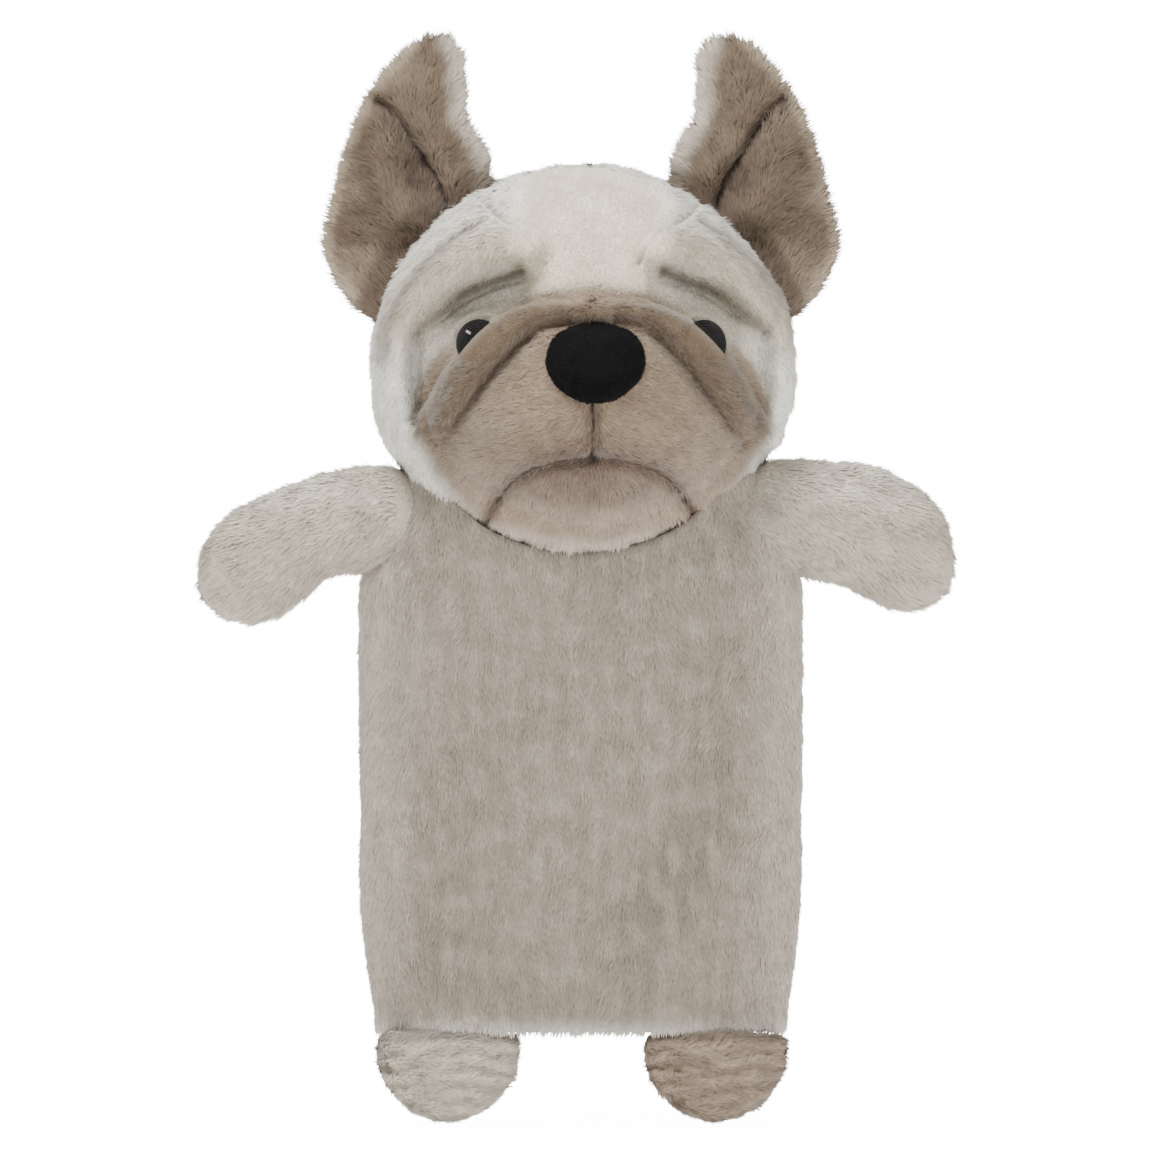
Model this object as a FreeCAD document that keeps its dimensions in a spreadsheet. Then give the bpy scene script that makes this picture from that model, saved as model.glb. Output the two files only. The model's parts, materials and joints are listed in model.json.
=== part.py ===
import FreeCAD, Part
import Sketcher
import math
import os
import re

# A plush dog hand puppet: an open cloth sleeve for the hand, a stuffed head with a finger tube,
# two arms with finger pockets and two flat feet that hang from the front hem.
# The puppet faces -Y, its own left is +X, +Z is up.
# The origin is the centre of the hand opening, in the plane of the hem.

os.makedirs("parts", exist_ok=True)
doc = FreeCAD.newDocument("HandPuppet")

# ---------------------------------------------------------------- driving sizes, in millimetres
SIZES = {
    # cloth and fits
    "cloth": 2.2,                   # plush cloth with its backing
    "joint_gap": 0.4,               # clear space between pieces that move past each other
    # sleeve
    "body_half_width": 60,
    "body_height": 151,             # to the shoulder corners, before the neckline is cut
    "sleeve_wall": 2.4,
    "hem_width": 12,                # the turned hem inside the opening
    "hem_cloth": 1.4,
    # neckline: an egg-shaped hollow that leaves the head room to nod and turn
    "neckline_side": 3,
    "neckline_front": 26,
    "neckline_below": 9,
    # neck
    "neck_drop": 25,                # the point that the head nods about, below the shoulder corners
    "neck_radius": 16,
    "neck_room": 0.2,               # between the neck's hole and the sleeve's inside
    "neck_below": 10,
    "neck_above": 9,
    "neck_bore": 10.5,
    # head
    "head_half_width": 59,
    "head_half_depth": 44,
    "head_half_height": 56,
    "chin_gap": 0.6,                # the head's lowest point above the neck's centre
    "forehead_half_width": 20,
    "chin_seam_drop": 32,           # the chin seam below the head's centre
    # muzzle
    "muzzle_half_width": 46,
    "muzzle_half_depth": 34,
    "muzzle_half_height": 32,
    "muzzle_forward": 22,
    "muzzle_drop": 14.6,
    "muzzle_fold_height": 3.5,
    "muzzle_fold_width": 8,
    # folds, eyes, nose and stitches
    "brow_radius": 5,
    "brow_inner_out": 14.5,
    "brow_outer_out": 46,
    "brow_inner_rise": 28.5,
    "brow_outer_rise": 11.5,
    "cheek_fold_drop": 17,
    "eye_radius": 6,
    "eye_bulge": 2.6,
    "eye_out": 30,
    "eye_rise": 6,
    "patch_cloth": 1,
    "patch_reach": 15,
    "patch_rise": 9,
    "nose_half_width": 13.8,
    "nose_half_height": 10.8,
    "nose_bulge": 7,
    "stitch_height": 0.8,
    "stitch_width": 1.4,
    "mouth_radius": 29,
    "mouth_drop": 26,               # the top of the mouth below the head's centre
    "mouth_height": 17,
    "philtrum_length": 16,
    # finger tube in the head
    "finger_bore": 9.5,
    "tube_wall": 1.8,
    "tube_length": 57,
    "tube_cap": 2,
    # ears
    "ear_cloth": 3.5,
    "ear_gap": 2.5,
    "ear_forward": 4,
    "ear_height": 91.4,             # the ear's tip above the head's centre
    "ear_tip_in": 18,               # the ear's tip, inwards from the head's widest point
    "ear_tip_half_width": 4,
    "ear_overhang": 12.5,           # the ear's widest point, beyond the head's
    "ear_reach_rise": 35.4,
    # arms
    "shoulder_drop": 13.5,          # the arms' pivots below the shoulder corners
    "arm_root_radius": 14,
    "arm_droop": 17,                # degrees
    "arm_length": 27.5,             # from the shoulder's centre to the paw's centre
    "arm_half_depth": 10.5,
    "arm_half_height": 13.5,
    "paw_half_length": 19.5,
    "paw_half_depth": 13,
    "paw_half_height": 17.5,
    "pocket_bore": 9.5,
    "seam_bore": 8,
    "seam_half_length": 6,
    "pocket_depth": 24,
    # feet
    "foot_in": 23.5,                # the foot's middle, inwards from the sleeve's side
    "foot_half_width": 21.5,
    "foot_half_thickness": 7,
    "foot_drop": 17.9,              # the sole below the foot's fold line
    "foot_gap": 0.6,
    "foot_cloth": 1.8,
}

sheet = doc.addObject("Spreadsheet::Sheet", "Sizes")
for row, (alias, value) in enumerate(SIZES.items(), start=1):
    sheet.set(f"A{row}", alias)
    sheet.set(f"B{row}", str(value))
    sheet.setAlias(f"B{row}", alias)
doc.recompute()

SIDES = {"left": 1, "right": -1}
NAMES = re.compile(r"\b(" + "|".join(sorted(SIZES, key=len, reverse=True)) + r")\b")
nodes = {}

# places that several pieces share, each written once as a formula of the sizes
BODY_DEPTH = "(neck_radius + joint_gap + neck_room + sleeve_wall)"
NECK_Z = "(body_height - neck_drop)"
SHOULDER_Z = "(body_height - shoulder_drop)"
HEAD_Z = f"({NECK_Z} + chin_gap + head_half_height)"
MUZZLE_Z = f"({HEAD_Z} - muzzle_drop)"
TUBE_START = f"({NECK_Z} + neck_radius + joint_gap + chin_gap)"
TUBE_RADIUS = "(finger_bore + tube_wall)"
ARM_INSIDE = "(arm_root_radius - cloth)"
FOOT_X = "(body_half_width - foot_in)"
FOOT_Z = "(foot_half_thickness + foot_gap)"
FOOT_Y = f"({BODY_DEPTH} - foot_half_thickness)"
FAR = 400                           # longer than the puppet, for boxes that cut it in two


# ---------------------------------------------------------------- small helpers
def bound(formula):
    """The formula as a FreeCAD expression, with every size read from the sheet."""
    return NAMES.sub(lambda found: "Sizes." + found.group(1), str(formula))


def value(formula):
    """The formula's number, from the sheet's present values."""
    numbers = {alias: float(sheet.get(alias)) for alias in SIZES}
    text = NAMES.sub(lambda found: repr(numbers[found.group(1)]), str(formula))
    return float(FreeCAD.Units.Quantity(text).Value)


def place(thing, x=0, y=0, z=0, axis=(0, 0, 1), angle=0):
    """Turn the object about an axis and bind its position to the sheet."""
    turn = FreeCAD.Rotation(FreeCAD.Vector(*axis), angle)
    thing.Placement = FreeCAD.Placement(FreeCAD.Vector(0, 0, 0), turn)
    for letter, formula in zip("xyz", (x, y, z)):
        thing.setExpression(f".Placement.Base.{letter}", bound(formula))
    return thing


def primitive(kind, name, sizes, **where):
    """A Part primitive with every size bound to the sheet."""
    thing = doc.addObject("Part::" + kind, name)
    for size, formula in sizes.items():
        thing.setExpression(size, bound(formula))
    return place(thing, **where)


def egg(name, half_x, half_y, half_z, **where):
    """An ellipsoid with the given half sizes."""
    sizes = {"Radius1": half_z, "Radius2": half_x, "Radius3": half_y}
    return primitive("Ellipsoid", name, sizes, **where)


def ball(name, radius, **where):
    return primitive("Sphere", name, {"Radius": radius}, **where)


def block(name, x=None, y=None, z=None):
    """A box from a (low, high) pair for each direction; without a pair it passes everything."""
    ends = [pair or (-FAR, FAR) for pair in (x, y, z)]
    sizes = {
        side: f"({high}) - ({low})" for side, (low, high) in zip(("Length", "Width", "Height"), ends)
    }
    return primitive("Box", name, sizes, x=ends[0][0], y=ends[1][0], z=ends[2][0])


def round_bar(name, radius, length, **where):
    return primitive("Cylinder", name, {"Radius": radius, "Height": length}, **where)


def cut(name, base, *tools):
    """The base with every tool taken away, one after another."""
    for count, tool in enumerate(tools):
        step = doc.addObject("Part::Cut", name if count == len(tools) - 1 else f"{name}_cut_{count}")
        step.Base = base
        step.Tool = tool
        base = step
    return base


def fuse(name, *shapes):
    joined = doc.addObject("Part::MultiFuse", name)
    joined.Shapes = list(shapes)
    return joined


def common(name, *shapes):
    shared = doc.addObject("Part::MultiCommon", name)
    shared.Shapes = list(shapes)
    return shared


def mirrored(name, thing):
    """The same shape on the puppet's other side."""
    other = doc.addObject("Part::Mirroring", name)
    other.Source = thing
    other.Normal = FreeCAD.Vector(1, 0, 0)
    return other


def keep(name, thing):
    """Register a finished piece under its node name."""
    thing.Label = name
    nodes[name] = thing
    return thing


def keep_both(name, thing):
    """Register the left piece and its mirror image on the right."""
    keep(name + "_left", thing)
    keep(name + "_right", mirrored(name + "_mirrored", thing))


def plane_of(body, role):
    return next(item for item in body.Origin.OriginFeatures if item.Role == role)


def new_sketch(body, name, role):
    sketch = body.newObject("Sketcher::SketchObject", name)
    sketch.AttachmentSupport = [(plane_of(body, role), "")]
    sketch.MapMode = "FlatFace"
    return sketch


def bind(sketch, kind, *where, formula):
    """Add a dimension to the sketch and bind it to the sheet."""
    index = sketch.addConstraint(Sketcher.Constraint(kind, *where, value(formula)))
    sketch.setExpression(f"Constraints[{index}]", bound(formula))


def stadium_sketch(body, name, half_width, half_depth):
    """Two half circles joined by straight sides, centred on the origin."""
    sketch = new_sketch(body, name, "XY_Plane")
    radius = value(half_depth)
    reach = value(half_width) - radius
    up, away = FreeCAD.Vector(0, 0, 1), FreeCAD.Vector
    right = Part.Circle(away(reach, 0, 0), up, radius)
    left = Part.Circle(away(-reach, 0, 0), up, radius)
    sketch.addGeometry(Part.ArcOfCircle(right, -math.pi / 2, math.pi / 2), False)
    sketch.addGeometry(Part.LineSegment(away(reach, radius, 0), away(-reach, radius, 0)), False)
    sketch.addGeometry(Part.ArcOfCircle(left, math.pi / 2, 3 * math.pi / 2), False)
    sketch.addGeometry(Part.LineSegment(away(-reach, -radius, 0), away(reach, -radius, 0)), False)
    for first, end, second, start in ((0, 2, 1, 1), (1, 2, 2, 1), (2, 2, 3, 1), (3, 2, 0, 1)):
        sketch.addConstraint(Sketcher.Constraint("Tangent", first, end, second, start))
    sketch.addConstraint(Sketcher.Constraint("Symmetric", 0, 3, 2, 3, -1, 1))
    sketch.addConstraint(Sketcher.Constraint("Horizontal", 1))
    bind(sketch, "Radius", 0, formula=half_depth)
    bind(sketch, "DistanceX", -1, 1, 0, 3, formula=f"{half_width} - {half_depth}")
    return sketch


def polygon_sketch(body, name, role, points):
    """A closed outline whose corners are all bound to the sheet."""
    sketch = new_sketch(body, name, role)
    corners = [FreeCAD.Vector(value(x), value(y), 0) for x, y in points]
    total = len(corners)
    for number in range(total):
        line = Part.LineSegment(corners[number], corners[(number + 1) % total])
        sketch.addGeometry(line, False)
    for number in range(total):
        sketch.addConstraint(Sketcher.Constraint("Coincident", number, 2, (number + 1) % total, 1))
    for number, (x, y) in enumerate(points):
        bind(sketch, "DistanceX", -1, 1, number, 1, formula=x)
        bind(sketch, "DistanceY", -1, 1, number, 1, formula=y)
    return sketch


def padded_body(name, sketch_maker, length, middle=False):
    """A PartDesign body with one sketch padded to a length."""
    body = doc.addObject("PartDesign::Body", name)
    sketch = sketch_maker(body)
    pad = body.newObject("PartDesign::Pad", name + "_pad")
    pad.Profile = sketch
    pad.SideType = "Symmetric" if middle else "One side"
    pad.setExpression("Length", bound(length))
    return body


def ring_body(name, radius, bore, below, above, **where):
    """A band cut from a ball, with a straight bore: turned about Z from a half section."""
    body = doc.addObject("PartDesign::Body", name)
    sketch = new_sketch(body, name + "_section", "XZ_Plane")
    out, low, high = value(radius), value(below), value(above)
    start, end = -math.asin(low / out), math.asin(high / out)
    origin, up = FreeCAD.Vector(0, 0, 0), FreeCAD.Vector(0, 0, 1)
    sketch.addGeometry(Part.ArcOfCircle(Part.Circle(origin, up, out), start, end), False)
    top = FreeCAD.Vector(out * math.cos(end), high, 0)
    bottom = FreeCAD.Vector(out * math.cos(start), -low, 0)
    inside = value(bore)
    corners = [top, FreeCAD.Vector(inside, high, 0), FreeCAD.Vector(inside, -low, 0), bottom]
    for first, second in zip(corners, corners[1:]):
        sketch.addGeometry(Part.LineSegment(first, second), False)
    for first, end_point, second, start_point in ((0, 2, 1, 1), (1, 2, 2, 1), (2, 2, 3, 1), (3, 2, 0, 1)):
        sketch.addConstraint(Sketcher.Constraint("Coincident", first, end_point, second, start_point))
    sketch.addConstraint(Sketcher.Constraint("Coincident", 0, 3, -1, 1))
    sketch.addConstraint(Sketcher.Constraint("Horizontal", 1))
    sketch.addConstraint(Sketcher.Constraint("Vertical", 2))
    sketch.addConstraint(Sketcher.Constraint("Horizontal", 3))
    bind(sketch, "Radius", 0, formula=radius)
    bind(sketch, "DistanceX", -1, 1, 2, 1, formula=bore)
    bind(sketch, "DistanceY", -1, 1, 2, 1, formula=above)
    bind(sketch, "DistanceY", 2, 2, -1, 1, formula=below)
    turned = body.newObject("PartDesign::Revolution", name + "_turned")
    turned.Profile = sketch
    turned.ReferenceAxis = (sketch, ["V_Axis"])
    turned.Angle = 360
    return place(body, **where)


# ---------------------------------------------------------------- shared shapes
def whole_head(name, grow="0"):
    """The head's ball, grown outwards by the given amount."""
    sizes = [f"head_half_{way} + {grow}" for way in ("width", "depth", "height")]
    return egg(name, *sizes, z=HEAD_Z)


def whole_muzzle(name, grow="0"):
    """The muzzle's ball, grown outwards by the given amount."""
    sizes = [f"muzzle_half_{way} + {grow}" for way in ("width", "depth", "height")]
    return egg(name, *sizes, y="-muzzle_forward", z=MUZZLE_Z)


def on_head(out, rise):
    """How far in front of the middle the head's surface is, at a place on its face."""
    across = value(out) / value("head_half_width")
    up = value(rise) / value("head_half_height")
    return value("head_half_depth") * math.sqrt(1 - across ** 2 - up ** 2)


# ---------------------------------------------------------------- the sleeve
def build_sleeve():
    """Front and back panels of the open sleeve, with the neckline and both armholes cut."""
    outside = padded_body(
        "sleeve_outside",
        lambda body: stadium_sketch(body, "sleeve_plan", "body_half_width", BODY_DEPTH),
        "body_height",
    )
    inner_width = "(body_half_width - sleeve_wall)"
    inner_depth = f"({BODY_DEPTH} - sleeve_wall)"
    inside = padded_body(
        "sleeve_inside",
        lambda body: stadium_sketch(body, "sleeve_inner_plan", inner_width, inner_depth),
        "body_height",
    )

    def neckline(name, grow):
        return egg(
            name,
            f"head_half_width + neckline_side + {grow}",
            f"head_half_depth + neckline_front + {grow}",
            f"head_half_height + neckline_below + {grow}",
            z=HEAD_Z,
        )

    tools = [
        neckline("neckline", "0"),
        cut("hand_space", inside, neckline("neckline_inside", "sleeve_wall")),
        round_bar("neck_hole", "neck_radius + joint_gap", "body_height"),
    ]
    for side, sign in SIDES.items():
        tools.append(
            ball(
                f"armhole_{side}",
                "arm_root_radius + joint_gap",
                x=f"{sign} * body_half_width",
                z=SHOULDER_Z,
            )
        )
    sleeve = cut("sleeve", outside, *tools)
    front = block("sleeve_front_half", y=(-FAR, 0))
    keep("body_front_panel", common("sleeve_front", sleeve, front))
    keep("body_back_panel", cut("sleeve_back", sleeve, front))


def build_hem():
    """The turned hem: a band against the inside of the opening."""
    wide, deep = "(body_half_width - sleeve_wall)", f"({BODY_DEPTH} - sleeve_wall)"
    band = padded_body(
        "hem_band", lambda body: stadium_sketch(body, "hem_plan", wide, deep), "hem_width"
    )
    space = padded_body(
        "hem_space",
        lambda body: stadium_sketch(
            body, "hem_space_plan", f"({wide} - hem_cloth)", f"({deep} - hem_cloth)"
        ),
        "hem_width",
    )
    keep("hem_facing", cut("hem", band, space))


# ---------------------------------------------------------------- neck and head
def build_neck():
    keep(
        "neck_seam_ring",
        ring_body("neck_ring", "neck_radius", "neck_bore", "neck_below", "neck_above", z=NECK_Z),
    )


def build_head():
    """The head's cloth in six panels, its stuffing and the finger tube with its cap."""
    socket = ball("neck_socket", "neck_radius + joint_gap", z=NECK_Z)
    tube_reach = f"({TUBE_START} - {NECK_Z} + tube_length)"
    tube_space = round_bar("tube_space", TUBE_RADIUS, f"{tube_reach} + tube_cap", z=NECK_Z)
    shell = cut("head_shell", whole_head("head_outside"), whole_head("head_inside", "-cloth"), socket)
    stuffing = cut("head_filling", whole_head("head_filling_outside", "-cloth"), socket, tube_space)
    keep("head_stuffing", stuffing)

    tube = cut(
        "finger_tube_wall",
        round_bar("tube_outside", TUBE_RADIUS, tube_reach, z=NECK_Z),
        round_bar("tube_inside", "finger_bore", tube_reach, z=NECK_Z),
        socket,
    )
    keep("finger_tube", tube)
    cap = round_bar("tube_end", TUBE_RADIUS, "tube_cap", z=f"{TUBE_START} + tube_length")
    keep("finger_tube_cap", cap)

    front = block("head_front_half", y=(-FAR, 0))
    below = block("below_chin_seam", z=(-FAR, f"{HEAD_Z} - chin_seam_drop"))
    face = common("head_front", shell, front)
    keep("chin_panel", common("chin", face, below))
    brow_half = cut("head_front_upper", face, below)
    middle = block("forehead_band", x=("-forehead_half_width", "forehead_half_width"))
    keep("forehead_panel", common("forehead", brow_half, middle))
    back = cut("head_back", shell, front)
    half = block("head_left_half", x=(0, FAR))
    keep_both("head_side", cut("cheek", common("face_half", brow_half, half), middle))
    keep_both("head_back", common("back_half", back, half))


def build_muzzle():
    """The padded muzzle, its wrinkle fold, the nose and the two stitched lines."""
    cover = cut(
        "muzzle_shell",
        whole_muzzle("muzzle_outside"),
        whole_muzzle("muzzle_inside", "-cloth"),
        whole_head("head_under_cover"),
    )
    keep("muzzle_cover", cover)
    filling = cut("muzzle_filling", whole_muzzle("muzzle_core", "-cloth"), whole_head("head_under_core"))
    keep("muzzle_stuffing", filling)

    nose_y = "(muzzle_forward + muzzle_half_depth * 0.84)"
    nose_sizes = ("nose_half_width", "nose_bulge", "nose_half_height")
    nose_ball = egg("nose_ball", *nose_sizes, y=f"-{nose_y}", z=HEAD_Z)
    keep("nose", cut("nose_pad", nose_ball, whole_muzzle("muzzle_under_nose")))

    eye = eye_ball("eye_in_fold")
    opening = primitive(
        "Cylinder",
        "fold_opening",
        {"Radius": "muzzle_half_width - muzzle_fold_width", "Height": FAR},
        y=f"-muzzle_forward - {FAR}",
        z=f"{MUZZLE_Z} - 2 * muzzle_fold_width",
        axis=(1, 0, 0),
        angle=-90,
    )
    fold = cut(
        "fold_roll",
        whole_muzzle("fold_outside", "muzzle_fold_height"),
        whole_muzzle("muzzle_under_fold"),
        whole_head("head_under_fold"),
        opening,
        block("below_fold", z=(-FAR, f"{MUZZLE_Z} - muzzle_fold_width")),
        egg("nose_in_fold", *nose_sizes, y=f"-{nose_y}", z=HEAD_Z),
        eye,
        mirrored("eye_in_fold_mirrored", eye),
    )
    keep("muzzle_fold", fold)

    mouth_z = f"({HEAD_Z} - mouth_drop)"
    ring_place = {"y": -FAR, "z": f"{mouth_z} - mouth_radius", "axis": (1, 0, 0), "angle": -90}
    mouth = common(
        "mouth_line",
        cut(
            "mouth_band",
            whole_muzzle("mouth_skin", "stitch_height"),
            whole_muzzle("muzzle_under_mouth"),
            whole_head("head_under_mouth"),
            round_bar("mouth_inner", "mouth_radius - stitch_width", FAR, **ring_place),
        ),
        round_bar("mouth_outer", "mouth_radius", FAR, **ring_place),
        block("mouth_height_band", z=(f"{mouth_z} - mouth_height", mouth_z)),
    )
    keep("mouth_stitch", mouth)

    philtrum = common(
        "philtrum_line",
        cut(
            "philtrum_skin",
            whole_muzzle("philtrum_outside", "stitch_height"),
            whole_muzzle("muzzle_under_philtrum"),
            egg("nose_in_philtrum", *nose_sizes, y=f"-{nose_y}", z=HEAD_Z),
        ),
        block(
            "philtrum_band",
            x=("-stitch_width / 2", "stitch_width / 2"),
            y=(-FAR, 0),
            z=(mouth_z, f"{mouth_z} + philtrum_length"),
        ),
    )
    keep("philtrum_stitch", philtrum)


def eye_ball(name):
    """The flat round eye, half sunk in the face and turned to lie on it."""
    depth = on_head("eye_out", "eye_rise")
    slope_out = value("eye_out") / value("head_half_width") ** 2
    slope_front = depth / value("head_half_depth") ** 2
    angle = math.degrees(math.atan2(slope_out, slope_front))
    return egg(
        name,
        "eye_radius",
        "eye_bulge",
        "eye_radius",
        x="eye_out",
        y=-depth,
        z=f"{HEAD_Z} + eye_rise",
        angle=angle,
    )


def rod_between(name, radius, start, end):
    """A round bar from one point to another."""
    first, last = FreeCAD.Vector(*start), FreeCAD.Vector(*end)
    along = last - first
    rod = doc.addObject("Part::Cylinder", name)
    rod.setExpression("Radius", bound(radius))
    rod.Height = along.Length
    rod.Placement = FreeCAD.Placement(first, FreeCAD.Rotation(FreeCAD.Vector(0, 0, 1), along))
    return rod


def build_face_sides():
    """Brow and cheek fold, eye and recessed eye patch, on both sides."""
    points = []
    for out, rise in (
        ("brow_inner_out", "brow_inner_rise"),
        ("brow_outer_out", "brow_outer_rise"),
        ("brow_outer_out", "-cheek_fold_drop"),
    ):
        points.append((value(out), -on_head(out, rise), value(HEAD_Z) + value(rise)))
    parts = [
        ball(f"brow_ball_{number}", "brow_radius", x=x, y=y, z=z)
        for number, (x, y, z) in enumerate(points)
    ]
    for number in range(2):
        parts.append(rod_between(f"brow_rod_{number}", "brow_radius", points[number], points[number + 1]))
    roll = fuse("brow_roll", *parts)
    brow = cut("brow", roll, whole_head("head_under_brow"), whole_muzzle("muzzle_by_brow", "muzzle_fold_height"))
    keep_both("brow_fold", brow)

    eye = cut("eye_disc", eye_ball("eye_whole"), whole_head("head_under_eye"), whole_muzzle("muzzle_by_eye"))
    keep_both("eye", eye)

    up = f"({HEAD_Z} + eye_rise)"
    area = block(
        "patch_area",
        x=("eye_out - patch_reach", "eye_out + patch_reach"),
        y=(-FAR, 0),
        z=(f"{up} - patch_reach", f"{up} + patch_rise"),
    )
    patch = cut(
        "patch_skin",
        common("patch_piece", whole_head("patch_outside", "patch_cloth"), area),
        whole_head("head_under_patch"),
        whole_muzzle("muzzle_by_patch", "muzzle_fold_height"),
        eye_ball("eye_in_patch"),
        roll,
    )
    keep_both("eye_patch", patch)


# ---------------------------------------------------------------- ears, arms and feet
def ear_outline():
    """The left ear's corners as (sideways, up), from its inner edge round the tip to its outer edge."""
    low, high = HEAD_Z, f"{HEAD_Z} + ear_height"
    tip, reach = "(head_half_width - ear_tip_in)", "(head_half_width + ear_overhang)"
    return [
        (f"{tip} - 16", f"{low} + ear_height / 2"),
        (f"{tip} - 8", f"{high} - 16"),
        (f"{tip} - ear_tip_half_width", high),
        (f"{tip} + ear_tip_half_width", high),
        (f"{reach} - 9", f"{low} + ear_reach_rise + 30"),
        (reach, f"{low} + ear_reach_rise"),
        (f"{reach} - 5", f"{low} + ear_reach_rise - 18"),
        (f"{reach} - 16", f"{low} + ear_reach_rise - 24"),
    ]


def build_ears():
    """Two layers of cloth, cut to follow the head with a gap that lets the ear flop."""
    whole = padded_body(
        "ear_whole",
        lambda body: polygon_sketch(body, "ear_outline", "XZ_Plane", ear_outline()),
        "2 * ear_cloth",
        middle=True,
    )
    place(whole, y="-ear_forward")
    ear = cut("ear_trimmed", whole, whole_head("head_by_ear", "ear_gap"))
    front = block("ear_front_half", y=(-FAR, "-ear_forward"))
    keep_both("ear_front", common("ear_front_layer", ear, front))
    keep_both("ear_lining", cut("ear_back_layer", ear, front))


def arm_shape(name, inset):
    """Shoulder ball, upper arm and paw as one soft shape, made smaller by the inset."""
    droop = math.radians(value("arm_droop"))
    along, down = math.cos(droop), math.sin(droop)
    root = ball(f"{name}_root", f"arm_root_radius - {inset}", x="body_half_width", z=SHOULDER_Z)
    upper = egg(
        f"{name}_upper",
        f"arm_length * 0.73 - {inset}",
        f"arm_half_depth - {inset}",
        f"arm_half_height - {inset}",
        x="body_half_width + arm_length / 2",
        z=f"{SHOULDER_Z} - 1.5",
    )
    paw = egg(
        f"{name}_paw",
        f"paw_half_length - {inset}",
        f"paw_half_depth - {inset}",
        f"paw_half_height - {inset}",
        x=f"body_half_width + arm_length * {along}",
        z=f"{SHOULDER_Z} - arm_length * {down}",
        axis=(0, 1, 0),
        angle=value("arm_droop"),
    )
    return fuse(name, root, upper, paw)


def build_arms():
    """The armhole seam, the arm's two cloth panels and the stuffing in the paw."""
    shoulder = {"x": "body_half_width", "z": SHOULDER_Z, "axis": (0, 1, 0)}
    seam = ring_body(
        "armhole_ring",
        f"({ARM_INSIDE} - joint_gap)",
        "seam_bore",
        "seam_half_length",
        "seam_half_length",
        angle=90,
        **shoulder,
    )
    keep_both("armhole_seam", seam)

    mouth = round_bar("pocket_mouth", "pocket_bore", "arm_root_radius + joint_gap", angle=-90, **shoulder)
    shell = cut("arm_shell", arm_shape("arm_outside", "0"), arm_shape("arm_inside", "cloth"), mouth)
    front = block("arm_front_half", y=(-FAR, 0))
    keep_both("arm_front", common("arm_front_piece", shell, front))
    keep_both("arm_back", cut("arm_back_piece", shell, front))
    beyond = block("paw_end", x=("body_half_width + pocket_depth", FAR))
    keep_both("paw_stuffing", common("paw_filling", arm_shape("arm_core", "cloth"), beyond))


def foot_shape(name, inset):
    """A half disc that hangs from a round fold line, made smaller by the inset."""
    x, y, z = FOOT_X, f"-{FOOT_Y}", f"-{FOOT_Z}"
    thick = f"foot_half_thickness - {inset}"
    disc = egg(f"{name}_disc", f"foot_half_width - {inset}", thick, f"foot_drop - {inset}", x=x, y=y, z=z)
    hanging = common(f"{name}_half", disc, block(f"{name}_below", z=(-FAR, z)))
    reach = "(foot_half_width - foot_half_thickness)"
    fold = round_bar(
        f"{name}_fold", thick, f"2 * {reach}", x=f"{x} - {reach}", y=y, z=z, axis=(0, 1, 0), angle=90
    )
    ends = [
        ball(f"{name}_end_{number}", thick, x=f"{x} + {way} * {reach}", y=y, z=z)
        for number, way in enumerate((-1, 1))
    ]
    return fuse(name, hanging, fold, *ends)


def build_feet():
    """Front and back cloth round a thin stuffing."""
    shell = cut("foot_shell", foot_shape("foot_outside", "0"), foot_shape("foot_inside", "foot_cloth"))
    front = block("foot_front_half", y=(-FAR, f"-{FOOT_Y}"))
    keep_both("foot_front", common("foot_front_piece", shell, front))
    keep_both("foot_back", cut("foot_back_piece", shell, front))
    keep_both("foot_stuffing", foot_shape("foot_core", "foot_cloth"))


# ---------------------------------------------------------------- build, check and write
def check_and_write():
    """Stop on any failed object or bad shape, then write each piece to its own file."""
    doc.recompute()
    bad = [thing.Name for thing in doc.Objects if {"Invalid", "Error"} & set(thing.State)]
    if bad:
        raise RuntimeError("failed objects: " + ", ".join(bad))
    for name, thing in nodes.items():
        shape = thing.Shape
        if shape.isNull() or not shape.isValid() or not shape.Solids:
            raise RuntimeError("bad shape: " + name)
    for name, thing in nodes.items():
        thing.Shape.exportStep(f"parts/{name}.step")
        box = thing.Shape.BoundBox
        low = f"{box.XMin:.1f} {box.YMin:.1f} {box.ZMin:.1f}"
        high = f"{box.XMax:.1f} {box.YMax:.1f} {box.ZMax:.1f}"
        print(f"{name:22s} solids {len(thing.Shape.Solids)}  {low}  to  {high}")
    print(len(nodes), "nodes")


build_sleeve()
build_hem()
build_neck()
build_head()
build_muzzle()
build_face_sides()
build_ears()
build_arms()
build_feet()
check_and_write()
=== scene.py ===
# %% [markdown]
# # A plush dog hand puppet
# The puppet is a stuffed dog's head on an open plush sleeve, with two finger arms, two big ears
# and two flat feet. The engineered model comes first, as a fixed frame, and every soft piece made
# below takes its place from the boxes of that frame's nodes.

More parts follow.
